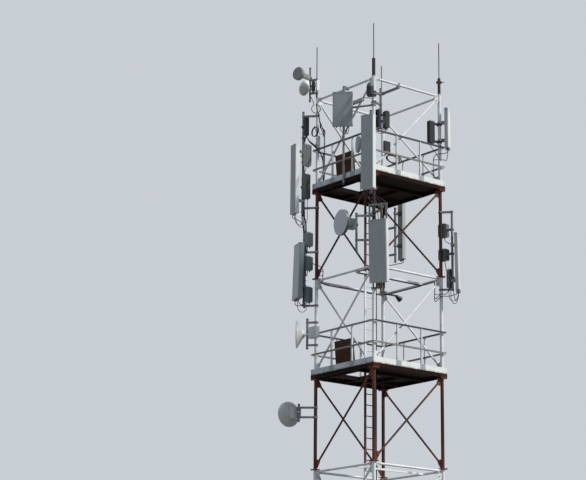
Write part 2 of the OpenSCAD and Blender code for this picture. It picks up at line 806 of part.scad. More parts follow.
module dish_disc() {
    color(galvanised) dish(pipe_disc, ring_z + 1060, 261, 270, reflector(335, 130, 75), [190, 260]);
}

module dish_behind() {
    color(galvanised) dish(tube_near, upper_z + 675, 240, 315, reflector(215, 65, 55), [140, 180]);
}

// Outline of the cone dish: a neck, a wide cone and a shallow drum
cone_outline = [
    [0, 0], [70, 0], [80, 20], [130, 60], [330, 180],
    [352, 190], [352, 215], [345, 222], [0, 222]
];
module dish_cone() {
    color(white) dish(pipe_cone, middle_z + 1080, 229, 70, cone_outline, [90, 90]);
}

module dish_drum() {
    color(white) dish(pipe_drum, middle_z - 960, 179, 240, reflector(328, 165, 50), [220, 290]);
}

// Cross clamp on the right whip's base: two bars and a short pin
cross_z = 310;
cross_h = 60;
cross_w = 30;
cross_reach = 75;
cross_pin = 150;
module whip_cross() {
    translate([side, side, top_z + leg_top + cap_t + cross_z])
        rotate([0, 0, 45]) {
            block([-cross_reach, -cross_w / 2, 0], [cross_reach, cross_w / 2, cross_h]);
            translate([cross_reach - 1, 0, cross_h / 2])
                rotate([0, 90, 0]) cylinder(d = 16, h = cross_pin - cross_reach);
        }
}

module whips() {
    color(galvanised) {
        whip(corner_left + whip_shift, stub_d, 560);
        whip(corner_near, 90, 480);
        whip(corner_right, 80, 450);
        whip_cross();
        whip(corner_far + whip_shift, stub_d, 200);
    }
}

// A canister aerial on the near leg
canister_out = 162;
canister_facing = 285;
canister_outline = [
    [0, 0], [70, 0], [80, 20], [95, 40], [95, 270],
    [84, 320], [62, 360], [34, 385], [0, 392]
];
module canister() {
    translate([side, 0, top_z - 545])
        rotate([0, 0, canister_facing])
            translate([canister_out, 0, 0]) rotate_extrude() polygon(canister_outline);
    clasp(tube_near, top_z - 475, canister_facing, canister_out);
}

// A slim flat aerial on the left leg's stub
module slim_aerial() {
    translate([stub_left[0][0], stub_left[0][1], top_z + 262])
        rotate([0, 0, 350]) block([38, -40, 0], [88, 40, 300]);
    clasp(stub_left, top_z + 445, 350, 40);
}

module small_antennas() {
    color(radio_grey) canister();
    color(white) slim_aerial();
}

// Lamp in a conical hood on a bar that is bolted under the far leg's flange
lamp_out = 560;
lamp_bar = 40;
lamp_tip = 115;
lamp_outline = [[0, 0], [42, 0], [50, 40], [85, 150], [85, 165], [0, 165]];
module floodlight() {
    z = ring_z + flange_above;
    color(radio_grey) {
        block([-lamp_bar / 2, side + 60, z - lamp_bar], [lamp_bar / 2, side + lamp_out, z]);
        translate([0, side + lamp_out - 60, z - lamp_bar + 1])
            rotate([-lamp_tip, 0, 0])
                translate([0, 0, -30])
                    rotate_extrude() polygon(lamp_outline);
    }
}

// A closed box with a lid, clamped to the left leg at a share of its height;
// off is the distance out to its back and aside its shift along its width
lid_t = 22;
lid_lip = 6;
module box_on_leg(z, size, facing, off, aside, grip) {
    translate([0, 0, z])
        rotate([0, 0, facing])
            translate([off, aside, 0]) {
                block([0, -size[0] / 2, 0], [size[1] - lid_t + 1, size[0] / 2, size[2]]);
                block([size[1] - lid_t, -size[0] / 2 - lid_lip, -lid_lip],
                      [size[1], size[0] / 2 + lid_lip, size[2] + lid_lip]);
            }
    clasp(tube_left, z + size[2] * grip, facing, off + 5);
}

// One box outside the middle railing, and one inside the upper railing
module junction_boxes() {
    color(galvanised) {
        box_on_leg(middle_z + 950, [300, 115, 290], 270, frame_out + 7, 110, 0.69);
        box_on_leg(upper_z + 1030, [140, 80, 430], 10, 62, 22, 0.5);
    }
}

// Leads between the sockets of a panel and of the radio beside it
module jumper_leads() {
    color("black") {
        lead(panel_socket(sector_left_upper, 2), radio_socket(unit_left_low, 0), 220);
        lead(panel_socket(sector_left_upper, 3), radio_socket(unit_left_low, 1), 280);
        lead(panel_socket(sector_left_lower, 2), radio_socket(unit_left_ring_low, 0), 180);
        lead(panel_socket(sector_right_lower, 1), radio_socket(unit_right_low, 1), 160);
        lead(panel_socket(sector_right_lower, 2), radio_socket(unit_right_low, 0), 220);
    }
}

leg_left();
leg_near();
leg_right();
leg_far();
side_front();
side_right();
side_back();
side_left();
platform_frame_upper();
platform_frame_middle();
platform_frame_lower();
deck_upper();
deck_middle();
deck_lower();
toe_boards_upper();
toe_boards_middle();
toe_boards_lower();
railing_upper();
railing_middle();
railing_lower();
hatch_cover_upper();
hatch_cover_middle();
hatch_cover_lower();
ladder();
ladder_bearers();
mounts_left();
mounts_near();
mounts_right();
mounts_far();
mounts_front();
panel_left_upper();
panel_left_lower();
panel_near_upper();
panel_near_lower();
panel_right_upper();
panel_right_lower();
panel_front();
panel_far();
radios_left();
radios_near();
radios_right();
dish_top_grey();
dish_top_white();
dish_disc();
dish_behind();
dish_cone();
dish_drum();
whips();
small_antennas();
floodlight();
junction_boxes();
jumper_leads();
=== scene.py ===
"""Looks of the lattice tower: paint, rust, fastenings, cables, light and camera."""
import json
from math import atan2, cos, degrees, hypot, pi, radians, sin, tan

import bpy
from mathutils import Matrix, Vector


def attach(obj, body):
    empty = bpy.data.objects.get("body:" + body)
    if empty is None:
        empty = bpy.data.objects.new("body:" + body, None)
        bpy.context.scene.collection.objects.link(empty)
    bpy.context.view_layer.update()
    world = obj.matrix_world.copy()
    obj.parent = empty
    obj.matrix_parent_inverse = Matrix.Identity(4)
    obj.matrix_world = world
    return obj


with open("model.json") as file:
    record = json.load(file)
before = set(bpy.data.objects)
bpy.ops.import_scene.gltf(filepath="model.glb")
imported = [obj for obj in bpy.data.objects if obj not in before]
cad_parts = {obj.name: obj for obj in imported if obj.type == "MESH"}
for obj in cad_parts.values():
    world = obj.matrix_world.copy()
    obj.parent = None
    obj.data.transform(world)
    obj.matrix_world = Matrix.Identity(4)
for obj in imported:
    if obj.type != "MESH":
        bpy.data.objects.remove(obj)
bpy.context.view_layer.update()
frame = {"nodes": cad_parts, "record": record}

BODY = "tower"
UP = Vector((0, 0, 1))

# The tower's driving sizes, in metres
SIDE = 2.3
BAY = 2.5
FOOT = 0.45
BAYS = 7
LEG_D = 0.089
PIPE_D = 0.06
STUB_D = 0.048
RING_LEVELS = (0, 1, 3, 5, 7)
PLATFORM_LEVELS = (6, 4, 2)
TONGUE_Y = -0.009
TONGUE_FACE = 0.004
GUSSET_FACE = 0.005
FLANGE_T = 0.024
FLANGE_ABOVE = 0.05
SEAT_DROP = 0.1
RISE_WORK = 0.11
PLATFORM_FALL_WORK = -0.11
BASE_T = 0.025

# Bolts of the lattice: size, and places along a diagonal, along a ring, and
# from the middle of a flange, of a platform's flange and of a base plate
LATTICE_BOLT = 0.012
DIAGONAL_BOLTS = (0.16, 0.195, 0.23)
RING_BOLTS = (0.095, 0.14)
FLANGE_BOLTS = 0.062
SEAT_BOLTS = 0.075
ANCHOR_BOLTS = 0.14

# Platform edge: toe boards stand on its outside, posts and rails just inside them
EDGE = -0.095
TOE_T = 0.005
TOE_BOLTS = (0.05, 0.11)
RAIL_W = 0.04
RAIL_FACE = EDGE + TOE_T
LADDER_X = 1.53
POST_AT = (SIDE * 0.313, SIDE * 0.667)
MID_RAIL = 0.56
TOP_RAIL = 1.1

# Clamps round a tube: wall of the collar, reach of the bolted ears, width of the arm
CLASP_WALL = 0.013
CLASP_EAR = 0.022
CLASP_W = 0.05
PANEL_CLASP_W = 0.06
CLASP_BOLT = 0.008
SOCKET_L = 0.035
SOCKET_R = 0.014
PANEL_SOCKETS = (-0.3, -0.1, 0.1, 0.3)
RADIO_SOCKETS = (-0.25, 0.25)
FIN_DEEP = 0.024

# The camera of the photograph: a 586 by 480 frame
FRAME_WIDTH = 586
FOCAL_PIXELS = 1852.8
SENSOR = 36
EYE = Vector((36.752, -29.615, 1.622))
VIEW_AZIMUTH = radians(51.9)
VIEW_PITCH = radians(14.77)
VIEW_ROLL = radians(0.618)


def level(k):
    """Height of ring level k."""
    return FOOT + BAY * k


LOWER = level(2)
MIDDLE = level(4)
RING = level(5)
UPPER = level(6)
TOP = level(7)

# Plan points of the legs
LEGS = {"left": (0, 0), "near": (SIDE, 0), "right": (SIDE, SIDE), "far": (0, SIDE)}

# Upright tubes: plan point, low end, high end and diameter
TUBES = {
    **{leg: (plan, 0, TOP, LEG_D) for leg, plan in LEGS.items()},
    "stub_left": ((-0.024, -0.02), TOP, TOP, STUB_D),
    "left_top": ((-0.185, -0.125), TOP - 0.02, TOP + 0.95, STUB_D),
    "left_upper": ((-0.29, -0.26), UPPER - 0.7, UPPER + 2.19, PIPE_D),
    "left_lower": ((-0.235, -0.215), RING - 0.7, RING + 1.35, PIPE_D),
    "cone": ((-0.17, -0.16), MIDDLE + 0.7, MIDDLE + 1.5, PIPE_D),
    "drum": ((-0.285, -0.325), MIDDLE - 1.2, MIDDLE - 0.75, PIPE_D),
    "near_upper": ((SIDE + 0.11, -0.19), UPPER - 0.69, UPPER + 1.55, PIPE_D),
    "near_lower": ((SIDE + 0.26, 0.025), RING - 0.75, RING + 1.51, PIPE_D),
    "near_inner": ((SIDE - 0.035, 0.265), UPPER + 1.19, UPPER + 2.28, PIPE_D),
    "disc": ((SIDE - 0.29, -0.33), RING + 0.35, RING + 1.37, PIPE_D),
    "right_lower": ((SIDE + 0.23, SIDE + 0.195), RING - 0.31, RING + 1.83, PIPE_D),
    "far_pipe": ((0.4, SIDE + 0.095), RING + 0.83, RING + 2.35, PIPE_D),
    "front": ((1.247, -0.13), UPPER - 0.15, TOP + 0.025, PIPE_D),
}

# Pipes held off a leg: the pipe, what holds it, and the heights of the arms
HELD = (
    ("left_top", "stub_left", (TOP + 0.215, TOP + 0.59)),
    ("left_upper", "left", (UPPER - 0.5, UPPER + 2.06)),
    ("left_lower", "left", (RING - 0.65, RING + 0.79)),
    ("cone", "left", (MIDDLE + 0.8, MIDDLE + 1.4)),
    ("drum", "left", (MIDDLE - 1.09, MIDDLE - 0.84)),
    ("near_upper", "near", (UPPER - 0.5, UPPER + 1.45)),
    ("near_lower", "near", (RING - 0.6, RING + 1.39)),
    ("near_inner", "near", (UPPER + 1.85, UPPER + 2.12)),
    ("disc", "near", (RING + 0.66, RING + 1.3)),
    ("right_lower", "right", (RING - 0.285, RING + 1.8)),
    ("far_pipe", "far", (RING + 1.05, RING + 1.8)),
)

# Sector panels: tube, underside, width, depth and height, facing, distance out,
# lean, heights of the clamps
PANELS = {
    "panel_left_upper": (
        "left_upper", UPPER - 0.68, (0.3, 0.13, 1.9), 258, 0.18, 0, (UPPER - 0.3, UPPER + 1.06)),
    "panel_left_lower": (
        "left_lower", RING - 0.49, (0.49, 0.14, 1.49), 250, 0.135, -1.8, (RING - 0.12, RING + 0.72)),
    "panel_near_upper": (
        "near_upper", UPPER - 0.585, (0.362, 0.15, 1.95), 294, 0.095, 0, (UPPER - 0.15, UPPER + 1.05)),
    "panel_near_lower": (
        "near_lower", RING - 0.52, (0.49, 0.15, 1.6), 300, 0.095, 3, (RING - 0.15, RING + 0.9)),
    "panel_right_upper": (
        "right", UPPER + 1.04, (0.3, 0.122, 1.1), 40, 0.15, 0, (UPPER + 1.28, UPPER + 1.77)),
    "panel_right_lower": (
        "right_lower", RING - 0.33, (0.5, 0.11, 1.51), 44, 0.085, -0.9, (RING - 0.05, RING + 0.9)),
    "panel_front": (
        "front", UPPER + 1.325, (0.525, 0.06, 0.94), 315, 0.285, 0, (UPPER + 1.455, UPPER + 2.075)),
    "panel_far": (
        "far_pipe", RING + 0.93, (0.28, 0.118, 1.6), 75, 0.15, 0, (RING + 1.3, RING + 2.2)),
}

# Radio units: tube, underside, width, depth and height, facing, distance out,
# heights of the clamps as shares of the height
RADIOS = {
    "left_top": ("left_top", TOP + 0.28, (0.1, 0.09, 0.28), 55, 0.05, (0.5,)),
    "left_high": ("left_upper", UPPER + 1.5, (0.095, 0.11, 0.51), 10, 0.066, (0.5,)),
    "left_middle": ("left_upper", UPPER + 0.65, (0.18, 0.14, 0.58), 10, 0.09, (0.5,)),
    "left_low": ("left_upper", UPPER - 0.26, (0.18, 0.13, 0.67), 2, 0.09, (0.5,)),
    "left_ring_high": ("left_lower", RING + 0.94, (0.18, 0.15, 0.36), 10, 0.07, (0.5,)),
    "left_ring_middle": ("left_lower", RING + 0.29, (0.18, 0.15, 0.36), 10, 0.07, (0.5,)),
    "left_ring_low": ("left_lower", RING - 0.57, (0.18, 0.15, 0.4), 10, 0.07, (0.75,)),
    "near_front": ("near_inner", UPPER + 1.23, (0.12, 0.11, 0.45), 275, 0.05, (0.35,)),
    "near_back": ("near_inner", UPPER + 1.23, (0.15, 0.13, 0.45), 80, 0.11, (0.75,)),
    "right_upper": ("right", UPPER + 1.15, (0.1, 0.2, 0.6), 270, 0.215, (0.12, 0.93)),
    "right_high": ("right_lower", RING + 1.16, (0.18, 0.24, 0.34), 190, 0.16, (0.5,)),
    "right_middle": ("right_lower", RING + 0.53, (0.18, 0.24, 0.29), 190, 0.16, (0.5,)),
    "right_low": ("right_lower", RING - 0.21, (0.11, 0.15, 0.48), 170, 0.068, (0.5,)),
}

# Sockets with a cap, because no jumper lead or cable fills them
FREE_SOCKETS = {
    "panel_left_upper": (1,), "panel_left_lower": (1,), "panel_right_upper": (0, 3),
    "panel_front": (0, 3), "panel_far": (0, 2, 3), "left_top": (1,), "left_high": (1,),
    "left_middle": (1,), "left_ring_high": (1,), "left_ring_middle": (1,), "left_ring_low": (1,),
    "right_upper": (1,), "right_high": (1,), "right_middle": (1,),
}

# Dishes: tube, height, facing, distance out to the reflector's back, radius and
# depth of the rim
DISHES = {
    "dish_top_grey": ("left_top", TOP + 0.655, 280, 0.36, 0.178, 0.1075),
    "dish_top_white": ("left_top", TOP + 0.33, 268, 0.11, 0.205, 0.07),
    "dish_disc": ("disc", RING + 1.06, 261, 0.27, 0.335, 0.1675),
    "dish_behind": ("near", UPPER + 0.675, 240, 0.315, 0.215, 0.0925),
    "dish_cone": ("cone", MIDDLE + 1.08, 229, 0.07, 0.352, 0.2025),
    "dish_drum": ("drum", MIDDLE - 0.96, 179, 0.24, 0.328, 0.19),
}

# Single clamps: tube, height and facing
OTHER_CLAMPS = (
    ("near_lower", RING + 1.48, 300),
    ("near", TOP - 0.735, 218),
    ("near", TOP - 0.475, 285),
    ("stub_left", TOP + 0.445, 350),
    ("left", MIDDLE + 0.95 + 0.29 * 0.69, 270),
    ("left", UPPER + 1.03 + 0.43 * 0.5, 10),
)


def way(direction):
    """Unit vector of a plan direction, in degrees."""
    a = radians(direction)
    return Vector((cos(a), sin(a), 0))


def up(z):
    """Vector of this height."""
    return Vector((0, 0, z))


def linked(name, data):
    """A new object in the scene."""
    made = bpy.data.objects.new(name, data)
    bpy.context.scene.collection.objects.link(made)
    return made


# Camera and lamps

def make_camera():
    """The camera fitted to the photograph."""
    sin_a, cos_a = sin(VIEW_AZIMUTH), cos(VIEW_AZIMUTH)
    sin_p, cos_p = sin(VIEW_PITCH), cos(VIEW_PITCH)
    ahead = Vector((-sin_a * cos_p, cos_a * cos_p, sin_p))
    right = Vector((cos_a, sin_a, 0))
    above = right.cross(ahead)
    cos_r, sin_r = cos(VIEW_ROLL), sin(VIEW_ROLL)
    right, above = cos_r * right + sin_r * above, cos_r * above - sin_r * right
    data = bpy.data.cameras.new("photo_camera")
    data.sensor_width = SENSOR
    data.lens = FOCAL_PIXELS * SENSOR / FRAME_WIDTH
    data.clip_end = 500
    camera = linked("photo_camera", data)
    camera.matrix_world = Matrix.Translation(EYE) @ Matrix((right, above, -ahead)).transposed().to_4x4()
    bpy.context.scene.camera = camera


def make_sun(name, azimuth, elevation, strength, spread, colour):
    """A soft distant lamp; azimuth is the plan direction that it shines from."""
    data = bpy.data.lights.new(name, "SUN")
    data.energy = strength
    data.angle = radians(spread)
    data.color = colour
    a, e = radians(azimuth), radians(elevation)
    towards = Vector((cos(a) * cos(e), sin(a) * cos(e), sin(e)))
    linked(name, data).rotation_euler = towards.to_track_quat("Z", "Y").to_euler()


# Node trees of the world and the materials

def joined(kind, swapped=False):
    """An operator that puts a math node between a Value and a number or another Value."""
    def operator(self, other=0):
        return self.math(kind, other, self) if swapped else self.math(kind, self, other)
    return operator


class Value:
    """A node's output; sums and products of it become math nodes."""

    __add__ = __radd__ = joined("ADD")
    __sub__ = joined("SUBTRACT")
    __rsub__ = joined("SUBTRACT", True)
    __mul__ = joined("MULTIPLY")
    __truediv__ = joined("DIVIDE")
    __mod__ = joined("FLOORED_MODULO")
    __abs__ = joined("ABSOLUTE")

    def __init__(self, nodes, socket):
        self.math = nodes.math
        self.socket = socket


class Nodes:
    """A node tree under construction."""

    def __init__(self, tree):
        self.tree = tree

    def feed(self, socket, value):
        """Links a Value to an input, or sets the input's own constant."""
        if isinstance(value, Value):
            self.tree.links.new(value.socket, socket)
        elif isinstance(value, tuple) and socket.type == "RGBA":
            socket.default_value = (*value, 1)
        else:
            socket.default_value = value

    def value(self, kind, output, inputs=None, **settings):
        """An output of a new shader node of this kind, whose inputs are fed."""
        made = self.tree.nodes.new(kind)
        for key, setting in settings.items():
            setattr(made, key, setting)
        for key, given in (inputs or {}).items():
            self.feed(made.inputs[key], given)
        return Value(self, made.outputs[output])

    def math(self, kind, a, b=0):
        return self.value("ShaderNodeMath", 0, {0: a, 1: b}, operation=kind)

    def seen_directly(self):
        """1 for rays from the camera, and for those that gloss or glass sends on."""
        rays = ("Is Camera Ray", "Is Glossy Ray", "Is Transmission Ray")
        camera, gloss, glass = (self.value("ShaderNodeLightPath", ray) for ray in rays)
        return self.math("MAXIMUM", self.math("MAXIMUM", camera, gloss), glass)


class Look(Nodes):
    """A material under construction."""

    def __init__(self, name):
        self.material = bpy.data.materials.new(name)
        self.material.use_nodes = True
        super().__init__(self.material.node_tree)
        self.place = self.value("ShaderNodeTexCoord", "Object")

    def along(self, axis):
        return self.value("ShaderNodeSeparateXYZ", axis, {0: self.place})

    def facing(self, direction):
        """How far a face turns to this plan direction, in degrees: -1 to 1."""
        normal = self.value("ShaderNodeNewGeometry", "Normal")
        inputs = {0: normal, 1: way(direction)}
        return self.value("ShaderNodeVectorMath", "Value", inputs, operation="DOT_PRODUCT")

    def noise(self, scale, detail=4, stretch=None, roughness=0.6):
        place = self.place
        if stretch:
            place = self.value("ShaderNodeMapping", 0, {"Vector": place, "Scale": stretch})
        inputs = {"Vector": place, "Scale": scale, "Detail": detail, "Roughness": roughness}
        return self.value("ShaderNodeTexNoise", "Fac", inputs)

    def step(self, value, low, high):
        """0 below low, 1 above high, smooth between."""
        inputs = {"Value": value, "From Min": low, "From Max": high}
        return self.value("ShaderNodeMapRange", 0, inputs, interpolation_type="SMOOTHSTEP")

    def between(self, value, low, high, soft=0.002):
        """1 from low to high, 0 outside."""
        above = self.step(value, low - soft, low + soft)
        return above * (1 - self.step(value, high - soft, high + soft))

    def mix(self, share, a, b):
        return self.value("ShaderNodeMix", 2, {"Factor": share, 6: a, 7: b}, data_type="RGBA")

    def finish(self, colour, roughness, bump=None, strength=0.2, depth=0.002, metallic=0, sheen=0.3):
        """The material, with these values on its shader."""
        given = {
            "Base Color": colour, "Roughness": roughness, "Metallic": metallic, "Specular IOR Level": sheen}
        if bump is not None:
            inputs = {"Strength": strength, "Distance": depth, "Height": bump}
            given["Normal"] = self.value("ShaderNodeBump", 0, inputs)
        for key, value in given.items():
            self.feed(self.tree.nodes["Principled BSDF"].inputs[key], value)
        return self.material


SKY_LIGHT = (0.8, 0.89, 1)
BACKGROUND = (0.58, 0.62, 0.66)
FLOOR_LIT = (0.16, 0.16, 0.15)
FLOOR_SEEN = (0.46, 0.48, 0.5)
WHITE = (0.76, 0.79, 0.8)
WHITE_DIRTY = (0.5, 0.53, 0.54)
RED_BROWN = (0.11, 0.026, 0.018)
RED_FADED = (0.16, 0.055, 0.034)
BROWN_DARK = (0.042, 0.016, 0.011)
RUST = (0.17, 0.06, 0.024)
RUST_DARK = (0.04, 0.018, 0.012)
# Nearly black of the rails: painted shade
RAIL_PAINTED_SHADE = (0.04, 0.041, 0.045)
RAIL_BROWN = (0.23, 0.215, 0.2)


def make_world():
    """Even sky light, and a pale background for the camera, gloss and glass."""
    world = bpy.data.worlds.new("studio")
    bpy.context.scene.world = world
    world.use_nodes = True
    world.node_tree.nodes.clear()
    nodes = Nodes(world.node_tree)
    light, pale = (
        nodes.value("ShaderNodeBackground", 0, {"Color": colour, "Strength": strength})
        for colour, strength in ((SKY_LIGHT, 0.42), (BACKGROUND, 1)))
    mixed = nodes.value("ShaderNodeMixShader", 0, {0: nodes.seen_directly(), 1: light, 2: pale})
    out = nodes.tree.nodes.new("ShaderNodeOutputWorld")
    nodes.feed(out.inputs[0], mixed)


def make_floor():
    """A pale floor for the camera that throws little light up under the decks."""
    size = 120
    mesh = bpy.data.meshes.new("studio_floor")
    corners = [(-size, -size, 0), (size, -size, 0), (size, size, 0), (-size, size, 0)]
    mesh.from_pydata(corners, [], [(0, 1, 2, 3)])
    floor = linked("studio_floor", mesh)
    floor.location.z = -0.002
    look = Look("studio_floor")
    mesh.materials.append(look.finish(look.mix(look.seen_directly(), FLOOR_LIT, FLOOR_SEEN), 0.9))


# Materials

BAND_ABOVE_RING = 0.045


def red_band(look):
    """1 in the red bands of the paint, which change just above the rings."""
    z = look.along("Z") + (look.noise(9) - 0.5) * 0.02
    red = look.step((z - (FOOT + BAND_ABOVE_RING)) / (2 * BAY) % 1, 0.4995, 0.5005)
    return red * look.between(z, level(1) + BAND_ABOVE_RING, UPPER + BAND_ABOVE_RING)


def near_node(look, reach):
    """1 at each level of the lattice, fading out at this distance from it."""
    off = (look.along("Z") - (FOOT - BAY / 2)) % BAY - BAY / 2
    return 1 - look.step(abs(off), 0.3 * reach, reach)


def rust_mask(look, amount, scale):
    """Patches of rust; amount from 0, none, to 1, all over."""
    patches = look.noise(scale, 8, roughness=0.72)
    return look.step(patches, 0.72 - 0.35 * amount, 0.8 - 0.35 * amount)


def rusted(look, colour, amount, scale):
    """The mask of the rust, and the colour with that rust on it."""
    mask = rust_mask(look, amount, scale)
    return mask, look.mix(mask, colour, look.mix(look.noise(30, 5), RUST_DARK, RUST))


def painted(look, rust):
    """Aged paint, white and red-brown in bands, with rust coming through."""
    dirt = look.step(look.noise(3, 6), 0.35, 0.75)
    streak = look.step(look.noise(14, stretch=(1, 1, 0.08)), 0.5, 0.8)
    white = look.mix(streak * 0.25, look.mix(dirt * 0.55, WHITE, WHITE_DIRTY), RUST)
    faded = look.mix(look.step(look.noise(5, 5), 0.4, 0.8), RED_BROWN, RED_FADED)
    faded = look.mix(near_node(look, 0.9) * 0.85, BROWN_DARK, faded)
    rusty, colour = rusted(look, look.mix(red_band(look), white, faded), rust, 6)
    return look.finish(colour, rusty * 0.3 + 0.55, rusty + look.noise(60), 0.35, 0.0015, sheen=0.2)


def above_platform(look):
    """Height above the platform below."""
    return (look.along("Z") - LOWER) % (2 * BAY)


def railing_paint(look):
    """Pale posts, and rails darkened with painted shade: nearly black above, brown-grey between."""
    dirt = look.step(look.noise(5, 6), 0.35, 0.7)
    post = look.mix(dirt * 0.6, (0.64, 0.67, 0.69), (0.38, 0.4, 0.41))
    above = above_platform(look)
    top = look.between(above, TOP_RAIL - RAIL_W, TOP_RAIL, 0.001)
    middle = look.between(above, MID_RAIL - RAIL_W, MID_RAIL, 0.001)
    # Painted shade: the top rail is nearly black, except on the front of the middle deck, where it stays
    # brown-grey.
    pale = look.between(look.along("Y"), -1, RAIL_FACE + RAIL_W, 0.001)
    pale = pale * look.between(look.along("Z"), MIDDLE, MIDDLE + BAY)
    # Patches of the same painted shade on the brown-grey middle rail.
    shade_patches = look.noise(11, 5) * 0.2
    colour = look.mix(middle, post, look.mix(shade_patches, RAIL_BROWN, RAIL_PAINTED_SHADE))
    colour = look.mix(top, colour, look.mix(pale, RAIL_PAINTED_SHADE, RAIL_BROWN))
    rusty, colour = rusted(look, colour, 0.26, 9)
    return look.finish(colour, 0.6, rusty + look.noise(70), 0.3, 0.001)


def toe_board_paint(look):
    """White boards, with painted shade on the faces that turn to the front, painted shadows of the posts
    beside them, and grime along their foot.
    """
    wear = look.step(look.noise(4, 6), 0.4, 0.75)
    colour = look.mix(wear * 0.45, (0.74, 0.77, 0.76), (0.52, 0.55, 0.54))
    # Painted shade: the faces that turn to the front take a darker blue-grey.
    front = look.step(look.facing(270), 0.5, 0.8)
    colour = look.mix(front, colour, look.mix(wear, (0.5, 0.56, 0.61), (0.36, 0.41, 0.45)))
    # Painted shadows of the posts: grey patches on the boards beside each post.
    posts = 0
    for axis in "XY":
        for at in POST_AT:
            posts = look.between(look.along(axis), at - 0.07, at + 0.12, 0.01) + posts
    colour = look.mix(posts * 0.8, colour, (0.25, 0.28, 0.3))
    foot = 1 - look.step(above_platform(look), 0, 0.045)
    foot = foot * look.step(look.noise(12, 6), 0.35, 0.6)
    rusty, colour = rusted(look, look.mix(foot * 0.8, colour, RUST), 0.26, 8)
    return look.finish(colour, 0.55, rusty + look.noise(50), 0.25, 0.0015)


def rusty_plate(look, dark, light, corners=None, tan=None):
    """Dark rusty steel, in the tones given, which for the platform frame and the deck hold painted shade too;
    corners is its colour by the legs, tan that of bared spots.
    """
    fine = look.noise(45, 6)
    colour = look.mix(look.step(look.noise(2.5, 8, roughness=0.7), 0.4, 0.75), dark, light)
    if tan:
        inside = look.between(look.along("X"), 0.5, 1.5, 0.05)
        inside = inside * look.between(look.along("Y"), 0.9, 1.3, 0.05)
        colour = look.mix(look.step(look.noise(5, 5), 0.54, 0.6) * inside, colour, tan)
    if corners:
        apart = [abs(abs(look.along(axis) - SIDE / 2) - SIDE / 2) for axis in "XY"]
        near_leg = 1 - look.step(look.math("MAXIMUM", *apart), 0.06, 0.17)
        colour = look.mix(near_leg, colour, corners)
    return look.finish(look.mix(fine * 0.4, colour, RUST_DARK), 0.9, fine, 0.5, sheen=0.08)


def galvanised(look, tone, pale=None):
    """Spangled zinc gone dull; pale is a stretch of height that is lighter."""
    cells = look.value("ShaderNodeTexVoronoi", "Color", {"Vector": look.place, "Scale": 70})
    grains = look.value("ShaderNodeSeparateColor", 0, {0: cells})
    low, high, worn = (tuple(tone * c for c in zinc) for zinc in (
        (0.26, 0.28, 0.29), (0.36, 0.38, 0.39), (0.3, 0.31, 0.31)))
    dull = look.step(look.noise(4, 6), 0.4, 0.75)
    colour = look.mix(dull, look.mix(grains, low, high), worn)
    if pale:
        colour = look.mix(look.between(look.along("Z"), *pale), colour, (0.4, 0.38, 0.34))
    colour = look.mix(rust_mask(look, 0.28, 9), colour, RUST)
    return look.finish(colour, 0.42 + dull * 0.2, look.noise(90), 0.12, 0.001, metallic=0.25)


def weathered(look, colour, dirty, streaks, clouds=0.3):
    """Dust washed down over a colour, with cloudy stains."""
    wash = look.step(look.noise(7, 5, stretch=(1, 1, 0.12)), 0.4, 0.72)
    cloud = look.step(look.noise(2.2), 0.3, 0.8)
    return look.mix(cloud * clouds, look.mix(wash * streaks, colour, dirty), dirty)


def coated(look, colour, roughness=0.45, strength=0.08):
    """The finely grained finish of a plastic or coated case."""
    return look.finish(colour, roughness, look.noise(120, 3), strength, 0.0008)


def moulded(look, colour, dirty, roughness=0.45, streaks=0.5):
    """A weathered plastic or coated cover."""
    return coated(look, weathered(look, colour, dirty, streaks), roughness)


def lit_and_shaded_cover(look, facing, front, sides, low=0.55, high=0.8):
    """A panel's cover, in two greys that paint its light and shade: one for the faces that turn to facing,
    one for the rest.
    """
    turned = look.step(look.facing(facing), low, high)
    dirty = look.mix(turned, tuple(0.8 * c for c in sides), tuple(0.76 * c for c in front))
    return coated(look, weathered(look, look.mix(turned, sides, front), dirty, 0.5))


def by_height(look, colour, *stretches):
    """A coated case whose colour changes over stretches of height: low, high, colour."""
    z = look.along("Z")
    for low, high, other in stretches:
        colour = look.mix(look.between(z, low, high, 0.004), colour, other)
    worn = look.step(look.noise(26, 6, roughness=0.7), 0.52, 0.66)
    dark = look.mix(0.55, colour, (0.02, 0.022, 0.024))
    return coated(look, look.mix(worn * 0.6, colour, dark), 0.5, 0.1)


# Materials of the record's slots: what makes each, and its tones and amounts
SLOT_LOOKS = {
    "leg_paint": (painted, 0.34),
    "bracing_paint": (painted, 0.28),
    # The platform frame and the deck are nearly black: dark rust, darkened further as painted shade under the
    # decks.
    "platform_steel": (
        rusty_plate, (0.008, 0.005, 0.0045), (0.018, 0.009, 0.007), (0.075, 0.022, 0.015), (0.34, 0.2, 0.12)),
    "deck_plate": (rusty_plate, (0.008, 0.007, 0.006), (0.018, 0.011, 0.009)),
    "toe_board_paint": (toe_board_paint,),
    "railing_paint": (railing_paint,),
    "hatch_plate": (rusty_plate, (0.075, 0.036, 0.026), (0.17, 0.08, 0.05)),
    "ladder_paint": (painted, 0.3),
    "galvanised_pipe": (galvanised, 0.55),
    "lamp_case": (moulded, (0.012, 0.012, 0.013), (0.04, 0.04, 0.04), 0.4, 0.3),
    "box_case": (moulded, (0.56, 0.61, 0.66), (0.36, 0.39, 0.42)),
    "cable_jacket": (moulded, (0.012, 0.013, 0.015), (0.03, 0.03, 0.03), 0.55, 0.3),
}

